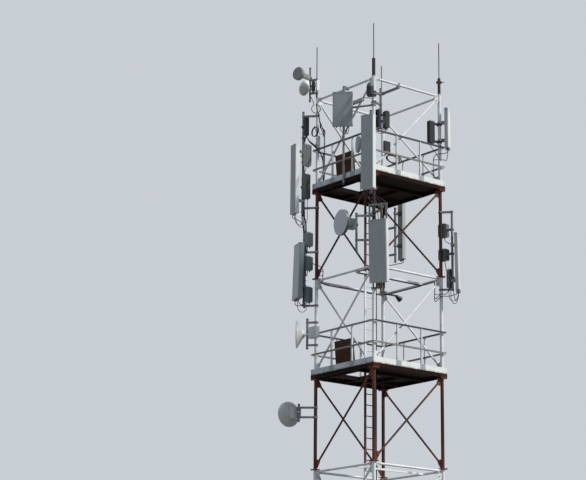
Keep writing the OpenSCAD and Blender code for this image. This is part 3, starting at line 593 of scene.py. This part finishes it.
# Two greys of each panel: the direction that has the first one, the first, the
# second, and how squarely a face has to turn that way
# The two greys are painted light and shade: one grey lit, the other shaded.
PANEL_LIT_AND_SHADED_GREYS = {
    "panel_left_upper": (258, (0.33, 0.36, 0.37), (0.76, 0.8, 0.81), 0.45, 0.7),
    "panel_left_lower": (250, (0.44, 0.46, 0.46), (0.22, 0.27, 0.31), 0.45, 0.7),
    "panel_near_upper": (294, (0.33, 0.37, 0.38), (0.74, 0.77, 0.77)),
    "panel_near_lower": (300, (0.33, 0.37, 0.38), (0.68, 0.71, 0.71)),
    "panel_right_upper": (40, (0.74, 0.77, 0.77), (0.34, 0.37, 0.38), 0.05, 0.35),
    "panel_right_lower": (44, (0.66, 0.68, 0.66), (0.32, 0.35, 0.35), 0.05, 0.35),
    "panel_front": (315, (0.3, 0.33, 0.345), (0.34, 0.37, 0.38)),
    "panel_far": (345, (0.52, 0.55, 0.54), (0.25, 0.3, 0.33), 0.35, 0.6),
    "dish_disc": (261, (0.5, 0.53, 0.6), (0.09, 0.11, 0.13)),
}
DISH_TONES = {
    "dish_top_grey": (0.27, 0.275, 0.27),
    "dish_behind": (0.33, 0.4, 0.44),
    "dish_cone": (0.76, 0.8, 0.81),
    "dish_drum": (0.5, 0.52, 0.52),
}

# Cases whose colour changes with height: the material's name, the colour, and
# the stretches that differ
TOP_WHITE = DISHES["dish_top_white"][1]
HEIGHT_TONES = {
    # The white dish grows paler upwards, to nearly white at its top: a painted highlight where its domed face
    # takes the sun.
    "dish_top_white": (
        "dish_top_white_paint", (0.42, 0.41, 0.4), (TOP_WHITE + 0.02, TOP + 1, (0.6, 0.62, 0.66)),
        (TOP_WHITE + 0.08, TOP + 1, (0.97, 0.98, 0.98))),
    "whips": ("whip_finish", (0.024, 0.028, 0.032), (TOP, TOP + 0.55, (0.022, 0.014, 0.012))),
    "radios_left": (
        "left_radio_cases", (0.2, 0.235, 0.26), (UPPER - 0.3, UPPER + 0.5, (0.13, 0.145, 0.15)),
        (UPPER + 0.5, UPPER + 1.3, (0.34, 0.36, 0.355)), (UPPER + 1.3, TOP + 1, (0.03, 0.034, 0.036))),
    "radios_near": ("near_radio_cases", (0.014, 0.018, 0.023)),
    "radios_right": ("right_radio_cases", (0.14, 0.16, 0.17), (UPPER + 1, TOP, (0.016, 0.019, 0.023))),
    "small_antennas": (
        "small_antenna_cases", (0.085, 0.105, 0.12),
        (TOP - 0.6, TOP - 0.29, (0.022, 0.026, 0.03)), (TOP, TOP + 1, (0.8, 0.82, 0.82))),
}


def node_materials():
    """Materials of the nodes that differ from the rest of their slot."""
    made = {node: lit_and_shaded_cover(Look(node + "_cover"), *tones) for node, tones in PANEL_LIT_AND_SHADED_GREYS.items()}
    for node, tone in DISH_TONES.items():
        made[node] = moulded(Look(node + "_paint"), tone, tuple(0.7 * c for c in tone), 0.5)
    for node, (name, colour, *stretches) in HEIGHT_TONES.items():
        made[node] = by_height(Look(name), colour, *stretches)
    made["mounts_front"] = galvanised(Look("front_mount_zinc"), 0.6, (TOP - 0.57, TOP - 0.47))
    return made


# Small solids, joined into one mesh for each kind of detail

def axes_of(direction):
    """Three unit vectors, the last along the direction."""
    ahead = direction.normalized()
    helper = UP if abs(ahead.z) < 0.9 else Vector((1, 0, 0))
    first = helper.cross(ahead).normalized()
    return first, ahead.cross(first), ahead


def circle(centre, radius, first, second, sides):
    """Points round a centre, in the plane of two unit vectors."""
    turns = [2 * pi * i / sides for i in range(sides)]
    return [centre + radius * (first * cos(turn) + second * sin(turn)) for turn in turns]


def smooth_route(points, steps):
    """A smooth curve through the points."""
    points = [Vector(p) for p in points]
    padded = [2 * points[0] - points[1], *points, 2 * points[-1] - points[-2]]
    route = []
    for a, b, c, d in zip(padded, padded[1:], padded[2:], padded[3:]):
        for i in range(steps):
            t = i / steps
            square, cube = 2 * a - 5 * b + 4 * c - d, 3 * b - a - 3 * c + d
            route.append(0.5 * (2 * b + (c - a) * t + square * t * t + cube * t ** 3))
    return [*route, points[-1]]


class Batch:
    """Many small solids that become one mesh."""

    def __init__(self):
        self.points = []
        self.faces = []

    def loft(self, rings):
        """Joins rings of equal length, and closes the first and the last."""
        base, n = len(self.points), len(rings[0])
        last = n * (len(rings) - 1)
        self.points.extend(p for ring in rings for p in ring)
        faces = [(i + j, i + (j + 1) % n, i + n + (j + 1) % n, i + n + j)
                 for i in range(0, last, n) for j in range(n)]
        faces += [range(n - 1, -1, -1), range(last, last + n)]
        self.faces.extend([base + i for i in face] for face in faces)

    def turned(self, origin, direction, outline, sides=16):
        """Turns an outline of (radius, distance along) about the direction."""
        first, second, ahead = axes_of(direction)
        self.loft([circle(origin + ahead * along, radius, first, second, sides) for radius, along in outline])

    def block(self, centre, size, facing=0):
        """A box with its X axis turned to the plan direction facing, in degrees."""
        out = way(facing)
        side = Vector((-out.y, out.x, 0))
        self.loft([
            [Vector(centre) + out * x * size[0] / 2 + side * y * size[1] / 2 + UP * z * size[2] / 2
             for x, y in ((-1, -1), (1, -1), (1, 1), (-1, 1))] for z in (-1, 1)])

    def bolt(self, seat, direction, size):
        """A hexagon head with a washer, sitting on a face."""
        washer, head = size * 0.18, size * 0.65
        self.turned(seat, direction, [(size * 1.15, 0), (size * 1.15, washer)], 12)
        outline = [(size * 0.92, 0), (size * 0.92, head * 0.85), (size * 0.78, head)]
        self.turned(seat + direction.normalized() * washer, direction, outline, 6)

    def through_bolt(self, seat, back, direction, size):
        """A bolt with its head at seat, and its nut and end at the back."""
        self.bolt(seat, direction, size)
        self.bolt(back, -direction, size)
        end = back - direction.normalized() * size * 0.8
        self.turned(end, -direction, [(size * 0.5, 0), (size * 0.5, size * 0.9)], 8)

    def tube(self, points, radius, steps=5):
        """A tube swept along a smooth curve through the points, without twist."""
        route = smooth_route(points, steps)
        across = axes_of(route[1] - route[0])[0]
        rings = []
        for before, point, after in zip([route[0], *route], route, [*route[1:], route[-1]]):
            ahead = (after - before).normalized()
            across = (across - ahead * across.dot(ahead)).normalized()
            rings.append(circle(point, radius, across, ahead.cross(across), 8))
        self.loft(rings)

    def make(self, name, material, body=BODY):
        mesh = bpy.data.meshes.new(name)
        mesh.from_pydata([tuple(p) for p in self.points], [], self.faces)
        mesh.validate()
        mesh.update()
        made = linked(name, mesh)
        mesh.materials.append(material)
        mesh.shade_smooth()
        mesh.set_sharp_from_angle(angle=radians(40))
        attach(made, body)
        return made


# Bolts that repeat at the four faces and corners

def turned(k, x, y):
    """Plan coordinates from the tower's middle, after k quarter turns."""
    for _ in range(k):
        x, y = -y, x
    return x, y


def turned_point(k, x, y, z):
    """A point of the front face or left corner, taken to face or corner k."""
    x, y = turned(k, x - SIDE / 2, y - SIDE / 2)
    return Vector((x + SIDE / 2, y + SIDE / 2, z))


def outward(face):
    return Vector((*turned(face, 0, -1), 0))


def four(reach):
    """The corners of a square round the origin."""
    return [(x, y) for y in (-reach, reach) for x in (-reach, reach)]


def bracing_bolts(batch):
    """Three bolts in each diagonal's end and two in each ring's end."""
    places = []
    for k in range(BAYS):
        rise = BAY + (PLATFORM_FALL_WORK if k + 1 in PLATFORM_LEVELS else 0) - RISE_WORK
        length, angle = hypot(SIDE, rise), atan2(rise, SIDE)
        for run in (*DIAGONAL_BOLTS, *(length - along for along in DIAGONAL_BOLTS)):
            places.append((run * cos(angle), level(k) + RISE_WORK + run * sin(angle)))
    ring = (*RING_BOLTS, *(SIDE - x for x in reversed(RING_BOLTS)))
    places += [(x, level(k)) for k in RING_LEVELS for x in ring]
    for face in range(4):
        for x, z in places:
            seat, back = (turned_point(face, x, y, z) for y in (TONGUE_Y - TONGUE_FACE, GUSSET_FACE))
            batch.through_bolt(seat, back, outward(face), LATTICE_BOLT)


def flange_bolts(batch):
    """Bolts of each leg's flanges, and of its seats below the platforms."""
    for corner in range(4):
        for k in range(BAYS):
            seat = k in PLATFORM_LEVELS
            low = level(k) - SEAT_DROP - FLANGE_T if seat else level(k) + FLANGE_ABOVE
            for x, y in four(SEAT_BOLTS if seat else FLANGE_BOLTS):
                if not seat or x < 0 or y < 0:
                    head, nut = (turned_point(corner, x, y, z) for z in (low + FLANGE_T, low))
                    batch.through_bolt(head, nut, UP, LATTICE_BOLT)


def anchor_nuts(batch):
    """A washer, a nut and the bolt's end at each hole of the base plates."""
    for corner in range(4):
        for x, y in four(ANCHOR_BOLTS):
            for lift, outline, sides in (
                    (0, [(0.026, 0), (0.026, 0.004)], 16),
                    (0.004, [(0.021, 0), (0.021, 0.018), (0.018, 0.021)], 6),
                    (0.024, [(0.012, 0), (0.012, 0.032)], 12)):
                batch.turned(turned_point(corner, x, y, BASE_T + lift), UP, outline, sides)


def rail_bolts(batch):
    """Bolts where the rails and toe boards cross the posts, and at the boards' ends."""
    places = [(post, RAIL_FACE, height - RAIL_W / 2, 0.009)
              for post in POST_AT for height in (MID_RAIL, TOP_RAIL)]
    places += [(post + aside, EDGE, height, 0.006)
               for post in POST_AT for aside in (-0.0135, 0.0135) for height in TOE_BOLTS]
    places += [(x, EDGE, height, 0.007) for x in (-0.05, SIDE + 0.05) for height in TOE_BOLTS]
    for k in PLATFORM_LEVELS:
        for face in range(4):
            for x, y, height, size in places:
                batch.bolt(turned_point(face, x, y, level(k) + height), outward(face), size)


# Fastenings of the clamps, panels, radio units and dishes

def on_tube(tube, z, facing, out=0, aside=0):
    """A point off a tube's middle line, out along its facing and aside to the left."""
    return Vector((*TUBES[tube][0], z)) + way(facing) * out + way(facing + 90) * aside


def clamp_bolts(batch, tube, z, facing, width=CLASP_W):
    """Two bolts through each ear of a clamp."""
    across = TUBES[tube][3] / 2 + CLASP_WALL + CLASP_EAR / 2
    for aside in (-across, across):
        for lift in (-0.27 * width, 0.27 * width):
            head, nut = (on_tube(tube, z + lift, facing, out, aside) for out in (CLASP_WALL, -CLASP_WALL))
            batch.through_bolt(head, nut, way(facing), CLASP_BOLT)


def pipe_saddle(batch, pipe, z, facing):
    """A strap round a pipe where an arm meets it, bolted through its two ears."""
    radius = TUBES[pipe][3] / 2
    strap = [(radius - 0.002, 0), (radius + 0.006, 0), (radius + 0.006, 0.04), (radius - 0.002, 0.04)]
    batch.turned(on_tube(pipe, z - 0.02, facing), UP, strap)
    for aside in (-radius - 0.012, radius + 0.012):
        batch.block(on_tube(pipe, z, facing, -0.006, aside), (0.008, 0.026, 0.04), facing)
        batch.bolt(on_tube(pipe, z, facing, -0.002, aside), way(facing), 0.007)


def all_clamp_bolts(batch):
    """Bolts of every clamp, and a saddle where each held pipe meets its arms."""
    for pipe, holder, heights in HELD:
        (x0, y0), (x1, y1) = TUBES[holder][0], TUBES[pipe][0]
        facing = degrees(atan2(y1 - y0, x1 - x0))
        for z in heights:
            clamp_bolts(batch, holder, z, facing)
            pipe_saddle(batch, pipe, z, facing)
    for tube, _, _, facing, _, _, heights in PANELS.values():
        for z in heights:
            clamp_bolts(batch, tube, z, facing, PANEL_CLASP_W)
    clamps = [(tube, low + size[2] * share, facing)
              for tube, low, size, facing, _, shares in RADIOS.values() for share in shares]
    for tube, z, facing in (*clamps, *(dish[:3] for dish in DISHES.values()), *OTHER_CLAMPS):
        clamp_bolts(batch, tube, z, facing)


def panel_brackets(batch):
    """A bolted plate on each panel's back, with cheeks beside the clamp's arm."""
    for tube, low, _, facing, off, lean, heights in PANELS.values():
        for z in heights:
            back = off + (z - low) * tan(radians(lean))
            batch.block(on_tube(tube, z, facing, back - 0.002), (0.008, 0.16, 0.12), facing)
            for aside in (-0.06, 0.06):
                for lift in (-0.04, 0.04):
                    seat = on_tube(tube, z + lift, facing, back - 0.006, aside)
                    batch.bolt(seat, -way(facing), CLASP_BOLT)
            start = max(back - 0.09, TUBES[tube][3] / 2 + CLASP_WALL)
            for aside in (-0.034, 0.034):
                centre = on_tube(tube, z, facing, (start + back) / 2, aside)
                batch.block(centre, (back - start, 0.006, 0.08), facing)


def socket(name, i):
    """Low end of a socket below a panel or a radio unit."""
    if name in PANELS:
        tube, low, (width, depth, _), facing, off, lean, _ = PANELS[name]
        out = off + depth / 2 - SOCKET_L * sin(radians(lean))
        return on_tube(tube, low - SOCKET_L, facing, out, PANEL_SOCKETS[i] * width)
    tube, low, (width, depth, _), facing, off, _ = RADIOS[name]
    return on_tube(tube, low - SOCKET_L, facing, off + (depth - FIN_DEEP) / 2, RADIO_SOCKETS[i] * width)


def sockets(steel, black):
    """A nut at every socket, and a cap on the free ones."""
    for units, places in ((PANELS, PANEL_SOCKETS), (RADIOS, RADIO_SOCKETS)):
        for name in units:
            for i in range(len(places)):
                end = socket(name, i)
                steel.turned(end + up(SOCKET_L - 0.013), UP, [(0.016, 0), (0.019, 0.003), (0.019, 0.012)], 6)
                if i in FREE_SOCKETS.get(name, ()):
                    cap = SOCKET_R + 0.002
                    black.turned(end - up(0.006), UP, [(0.013, 0), (cap, 0.003), (cap, 0.026)], 14)


def radio_plates(batch):
    """A mounting plate behind each radio unit and two bent handles on its top."""
    for tube, low, (width, depth, height), facing, off, _ in RADIOS.values():
        middle, top = low + height / 2, low + height
        batch.block(on_tube(tube, middle, facing, off - 0.002), (0.01, 0.86 * width, 0.62 * height), facing)
        for aside in (-0.34 * width, 0.34 * width):
            for lift in (-0.26 * height, 0.26 * height):
                batch.bolt(on_tube(tube, middle + lift, facing, off - 0.007, aside), -way(facing), 0.006)
        inner, outer = (off + share * (depth - FIN_DEEP) for share in (0.2, 0.8))
        for aside in (-0.3 * width, 0.3 * width):
            batch.tube([on_tube(tube, top + lift, facing, out, aside) for out, lift in (
                (inner, -0.004), (inner + 0.002, 0.02), (inner + 0.014, 0.028),
                (outer - 0.014, 0.028), (outer - 0.002, 0.02), (outer, -0.004))], 0.004, 3)


def dish_bolts(batch):
    """Screws round each dish's rim."""
    for tube, z, facing, off, radius, rim in DISHES.values():
        for spoke in circle(Vector(), 1, way(facing + 90), UP, 16):
            batch.bolt(on_tube(tube, z, facing, off + rim - 0.012) + spoke * (radius - 0.001), spoke, 0.005)


def pipe_caps(batch):
    """A cap on both ends of every mounting pipe."""
    for plan, low, high, width in TUBES.values():
        if width < LEG_D and high > low:
            outline = [(width / 2 + 0.002, -0.022), (width / 2 + 0.002, 0.003), (width / 2 - 0.005, 0.007)]
            batch.turned(Vector((*plan, high)), UP, outline)
            batch.turned(Vector((*plan, low)), -UP, outline)


# Cables: radius, how far an end goes into its socket, the pitches side by side,
# height over the deck, depth under the ring, and Y of the ladder's back stringer
CABLE_R = 0.01
SOCKET_IN = 0.012
LANE = 0.022
LEG_LANE = 0.02
DECK_LIFT = 0.012
RING_UNDER = 0.045
LADDER_BACK_Y = 0.695

# Where the cables of each leg run beside it, inside the tower and clear of its flanges
LEG_RUNS = {leg: (abs(x - 0.115), abs(y - 0.115)) for leg, (x, y) in LEGS.items()}


def leg_lane(leg, lane, z):
    """Place of one of a leg's three cables, side by side."""
    across = 45 if leg in ("near", "far") else 135
    return Vector((*LEG_RUNS[leg], z)) + way(across) * LEG_LANE * (lane - 1)


def leg_ties(batch, leg, high, low):
    """Brackets that hold a leg's cables off the leg, about every 0.6 m."""
    centre, middle = Vector((*TUBES[leg][0], 0)), Vector((*LEG_RUNS[leg], 0))
    facing = degrees(atan2(middle.y - centre.y, middle.x - centre.x))
    count = max(2, round((high - low) / 0.6) + 1)
    for i in range(count):
        z = high + (low - high) * i / (count - 1)
        batch.block(centre + way(facing) * 0.105 + up(z), (0.13, 0.02, 0.012), facing)
        batch.block(middle + up(z), (0.03, 0.072, 0.016), facing)


def to_leg(leg, lane, start, sag=0.12):
    """From a socket down and round the leg to its lane, a little lower."""
    z = start.z - sag
    route = [start + up(SOCKET_IN), start - up(0.06)]
    if leg == "far":
        beside = leg_lane(leg, lane, z)
        route.append((start + beside) / 2 - up(0.5 * sag))
    else:
        beside = on_tube(leg, z, 225 if leg == "near" else 315, 0.105)
        route += [(start + beside) / 2 - up(0.5 * sag), beside]
    return route + [leg_lane(leg, lane, z - 0.1)]


def on_pipe(pipe, around, z):
    """Place of a cable strapped to a pipe, at a plan direction from its middle."""
    return on_tube(pipe, z, around, TUBES[pipe][3] / 2 + CABLE_R)


def from_socket(end, towards, z):
    """From a socket down and over to a point at height z."""
    return [end + up(SOCKET_IN), end - up(0.05), (end + towards) / 2 - up(0.06), Vector((*towards.xy, z))]


def into_socket(before, end, sag=0.1):
    """A drip loop from a cable's last point up into a socket."""
    low = min(before.z, end.z) - sag
    return [(*before.lerp(end, 0.3).xy, low), (*before.lerp(end, 0.8).xy, low),
            end - up(0.05), end + up(SOCKET_IN)]


def ladder_lane(slot, z):
    """Place of a cable on the ladder: three behind the rungs, the rest outside its back stringer."""
    if slot < 3:
        return Vector((LADDER_X - 0.011, LADDER_BACK_Y - 0.02 * (slot + 1), z))
    row, column = divmod(slot - 3, 4)
    return Vector((LADDER_X - 0.05 + 0.022 * row, LADDER_BACK_Y + 0.014 + 0.021 * column, z))


def down_ladder(slot, high):
    return [ladder_lane(slot, z) for z in (high - 0.15, high - 0.9, 0.006)]


def over_deck(leg, lane, slot):
    """Along the edge of the upper deck from a leg, across to the hatch and down the ladder."""
    z = UPPER + DECK_LIFT
    first, down = leg_lane(leg, lane, z), ladder_lane(slot, z)
    back = leg == "right"
    sign = 1 if back else -1
    y = SIDE - 0.06 - LANE * lane if back else 0.06 + LANE * lane
    x = LADDER_X + 0.03 + LANE * (slot % 3)
    step, turn = -0.12 * sign, 0.08 * sign
    return [first + up(0.2), first + Vector((step * 0.3, 0, 0.03)), (first.x + step, y, z),
            ((first.x + x) / 2, y, z), (x + turn, y, z), (x, y - turn, z), (x, (y + down.y) / 2, z),
            (x, down.y + turn, z), (x - 0.01, down.y, z + 0.012), *down_ladder(slot, UPPER)]


def under_ring(leg, lane, slot):
    """Under the ring from a leg to the ladder's bearer, along it and down the ladder."""
    z = RING - RING_UNDER
    route = [leg_lane(leg, lane, z + (-0.1 if leg == "right" else 0.1))]
    if leg == "left":
        x, leg = LANE * lane, "far"
        route += [(x, 0.26, z), (x, SIDE / 2, z), (x, SIDE - 0.3, z), leg_lane(leg, lane, z)]
    first, down = leg_lane(leg, lane, z), ladder_lane(slot, z)
    side = 1 if leg == "far" else -1
    y, turn = (LANE * lane, -0.1) if leg == "near" else (SIDE - LANE * lane, 0.1)
    x = LADDER_X + 0.012 + 0.018 * lane
    return route + [(first.x + 0.14 * side, y, z), ((first.x + x) / 2, y, z), (x - 0.08 * side, y, z),
                    (x, y - turn, z - 0.002), (x, (y + down.y) / 2, z), (x, down.y + turn, z),
                    (x - 0.03, down.y + turn * 0.3, z - 0.03), *down_ladder(slot, RING - 0.1)]


def trunk():
    """Three cables behind the left leg, from the loop at its head to the deck and the ladder."""
    routes = []
    for lane in range(3):
        spot = Vector((0.115, 0.125, 0)) + way(51.9) * LANE * (lane - 1)
        start = Vector((0.11 * (1 - 0.1 * lane), -0.04 + 0.03 * lane, 17.55 - 0.12 * lane))
        routes.append([start, start - up(0.15), spot + up(17.1), spot + up(16.9),
                       spot + up(UPPER + 0.4), *over_deck("left", lane, lane)])
    return routes


def down_pipes():
    """Cables strapped along the two pipes at the left leg, from unit to unit."""
    head = [Vector((0.115, 0.1, 16.2)), Vector((0.105, 0.03, 16.4)),
            Vector((0.077, -0.075, 16.545)), Vector((-0.13, -0.14, 16.75))]
    starts = [[point + up(0.02 * lane) for point in head] for lane in range(3)]
    for name, around, bind, z in (
            ("left_high", 146, 16.7, 16.7), ("left_middle", 178, 15.84, 15.84),
            ("panel_left_upper", 210, 14.66, 14.58)):
        starts.append(from_socket(socket(name, 0), on_pipe("left_upper", around, bind), z))
    ends = {0: ("left_ring_high", 0), 1: ("left_ring_middle", 0),
            4: ("panel_left_lower", 0), 5: ("panel_left_lower", 3)}
    routes = []
    for lane, route in enumerate(starts):
        around = 50 + 32 * lane
        upper = [on_pipe("left_upper", around, z) for z in (16.88, 15.6, 14.86)]
        route += [point for point in upper if point.z < route[-1].z - 0.1 or lane < 3]
        between = (on_pipe("left_upper", around, 14.54) + on_pipe("left_lower", around, 14.54)) / 2
        route += [between + way(around) * 0.02, on_pipe("left_lower", around, 14.22)]
        if lane in ends:
            end = socket(*ends[lane])
            last = on_pipe("left_lower", around, end.z + 0.06)
            route += [last, *into_socket(last, end)]
        else:
            route += [on_pipe("left_lower", around, 13.7), (-0.02, -0.115, 13.42), (0.095, -0.055, 13.37),
                      leg_lane("left", lane - 2, 13.26), *under_ring("left", lane - 2, 7 + lane)]
        routes.append(route)
    return routes


def between_near_panels():
    """Cables from above, over the hanger and behind the near lower panel to its sockets."""
    outer = [socket("panel_near_upper", i) for i in (0, 3)]
    first, last = ([end + up(SOCKET_IN), end - up(0.1)] for end in outer)
    routes = []
    for i, route in enumerate((first, *over_near_rail(), last)):
        aside = 0.11 * (i - 1.5)
        route += [on_tube("near_lower", RING + z, 300, out, share * aside) for z, out, share in (
            (1.56, 0.245, 1), (1.44, 0.205, 1), (1.15, 0.085, 0.9), (0.45, 0.07, 0.7),
            (-0.35, 0.055, 0.6), (-0.6, 0.06, 0.6))]
        routes.append(route + into_socket(route[-1], socket("panel_near_lower", i), 0.06))
    return routes


def over_near_rail():
    """Leads of the two near radio units, over the top rail and down the pipe outside the deck."""
    rail = UPPER + TOP_RAIL + 0.035
    routes = []
    for name, shift in (("near_front", 0), ("near_back", 0.022)):
        end = socket(name, 0)
        routes.append([
            end + up(SOCKET_IN), end - up(0.03), (2.362 + shift, 0.12, rail),
            (2.372 + shift, -0.05, rail + 0.004),
            *(on_pipe("near_upper", 150 + 600 * shift, z) for z in (16.4, 15.3, 14.86))])
    return routes


def ring_of(centre, radius, facing, squash=1, start=90, sweep=360, pitch=0):
    """Points round a loop that faces a plan direction."""
    steps = max(8, round(sweep / 24))
    turns = [radians(start + sweep * i / steps) for i in range(steps + 1)]
    return [Vector(centre) + way(facing + 90) * radius * cos(turn)
            + up(radius * squash * sin(turn)) + way(facing) * pitch * i / steps
            for i, turn in enumerate(turns)]


def top_cables(batch):
    """Loop and coil at the left leg's head, and three coils on the right side's rail."""
    batch.tube([socket("left_top", 0) + up(SOCKET_IN), (-0.2, -0.1, 18.14), (-0.16, -0.08, 18.02),
                (-0.128, -0.06, 17.93), (-0.1, -0.06, 17.84),
                *ring_of((0, -0.06, 17.7), 0.12, 322, start=150, sweep=300),
                (0.1, -0.05, 17.5), (0.1, 0.02, 17.2), (0.113, 0.1, 17)], 0.01, 4)
    batch.tube([*ring_of((0.02, -0.086, 17.04), 0.13, 270, sweep=1080, pitch=0.045),
                (0.09, -0.09, 16.98), (0.105, 0, 16.8), (0.115, 0.1, 16.62)], 0.009, 3)
    for turn in range(3):
        centre, radius = (2.325 + 0.018 * turn, 0.6 + 0.02 * turn, 15.87), 0.2 + 0.02 * turn
        batch.tube(ring_of(centre, radius, 0, 0.45 + 0.05 * turn, sweep=720, pitch=0.012), 0.012, 3)


def to_front_panel(batch):
    """Leads from the two near radio units along the arm to the front panel."""
    arm = TOP - 0.52
    for i, x, unit in ((1, 1.45, "near_front"), (2, 1.52, "near_back")):
        end = socket("panel_front", i)
        batch.tube([
            end + up(SOCKET_IN), end - up(0.06), ((end.x + x) / 2, -0.2, end.z - 0.12),
            (x, -0.14, arm - 0.3 + 0.1 * i),
            *((at, -0.084, arm + 0.054) for at in (x + 0.05, x + 0.2, 1.98)), (2.16, 0.06, arm),
            leg_lane("near", i, arm - 0.15), leg_lane("near", i, 16.8),
            *into_socket(leg_lane("near", i, 16.72), socket(unit, 1))], 0.008)


def cables():
    """Every cable's black jacket, and the clips that hold them."""
    black, steel = Batch(), Batch()
    low_end = on_pipe("right_lower", 250, 12.8)
    routes = [
        *trunk(),
        to_leg("right", 0, socket("panel_right_upper", 1)) + over_deck("right", 0, 3),
        *(to_leg(leg, lane, socket(panel, i)) + under_ring(leg, lane, slot) for leg, lane, panel, i, slot in (
            ("near", 0, "panel_near_upper", 1, 4), ("near", 2, "panel_near_upper", 2, 5),
            ("far", 1, "panel_far", 1, 6), ("right", 1, "panel_right_lower", 0, 7))),
        [*from_socket(socket("right_middle", 0), low_end, 13.2), low_end,
         *to_leg("right", 2, Vector((*low_end.xy, 12.6)), 0.06)[2:], *under_ring("right", 2, 8)],
        *down_pipes(), *between_near_panels()]
    for route in routes:
        black.tube(route, CABLE_R)
    low_end = on_pipe("right_lower", 110, 12.72)
    black.tube([*from_socket(socket("right_high", 0), on_pipe("right_lower", 110, 13.9), 13.8), low_end,
                *into_socket(low_end, socket("panel_right_lower", 3), 0.16)], 0.009)
    black.tube([*from_socket(socket("right_upper", 0), on_pipe("right", 320, 16.3), 16.2),
                *into_socket(on_pipe("right", 20, 16.22), socket("panel_right_upper", 2), 0.03)], 0.009)
    to_front_panel(black)
    top_cables(black)
    steel.block((2.345, 0.6, 15.985), (0.05, 0.016, 0.07))
    black.block((2.335, 0.415, 16.17), (0.055, 0.2, 0.27))
    steel.block((2.363, 0.415, 16.000), (0.01, 0.06, 0.1))
    for leg, high, low in (
            ("left", 17, UPPER + 0.3), ("left", 13.22, 13.1), ("near", 17.2, 16.8),
            ("near", 14.5, RING + 0.1), ("right", 16.2, UPPER + 0.25), ("right", 12.8, 12.55),
            ("far", 13.6, RING + 0.1)):
        leg_ties(steel, leg, high, low)
    for name in ("left_upper", "left_lower"):
        low, high = TUBES[name][1:3]
        for i in range(4):
            z = low + 0.1 + (min(high, 17) - low - 0.2) * i / 3
            steel.turned(on_tube(name, z, 0), UP, [(0.048, 0), (0.052, 0), (0.052, 0.014), (0.048, 0.014)])
    z = UPPER - 0.35
    while z > 0.3:
        steel.block(ladder_lane(1, z), (0.016, 0.064, 0.014))
        if z < UPPER:
            steel.block((ladder_lane(4, z) + ladder_lane(7, z)) / 2, (0.046, 0.07, 0.014))
        z -= 0.84
    return black, steel


def dress(looks, own_looks):
    """Material of every CAD node."""
    for part in frame["record"]["subparts"]:
        name = part["node"]
        materials = frame["nodes"][name].data.materials
        materials.clear()
        materials.append(own_looks[name] if name in own_looks else looks[part["material_slot"]])


def add_pieces(looks):
    """Fastenings and cables, each joined into one piece."""
    bolts, fittings, caps = Batch(), Batch(), Batch()
    for add in (bracing_bolts, flange_bolts, anchor_nuts, rail_bolts):
        add(bolts)
    for add in (all_clamp_bolts, panel_brackets, radio_plates, dish_bolts):
        add(fittings)
    sockets(fittings, caps)
    pipe_caps(caps)
    jackets, clips = cables()
    for batch, name, slot in (
            (bolts, "tower_bolts", "galvanised_pipe"), (fittings, "antenna_fittings", "galvanised_pipe"),
            (caps, "caps", "cable_jacket"), (jackets, "feeder_cables", "cable_jacket"),
            (clips, "cable_clips", "galvanised_pipe")):
        batch.make(name, looks[slot])


make_camera()
make_world()
make_floor()
make_sun("key", 33, 48, 4, 6, (1, 0.97, 0.92))
make_sun("fill", 300, 25, 0.18, 60, (0.92, 0.96, 1))
slot_looks = {slot: make(Look(slot), *values) for slot, (make, *values) in SLOT_LOOKS.items()}
dress(slot_looks, node_materials())
add_pieces(slot_looks)
bpy.context.scene.view_settings.view_transform = "Standard"
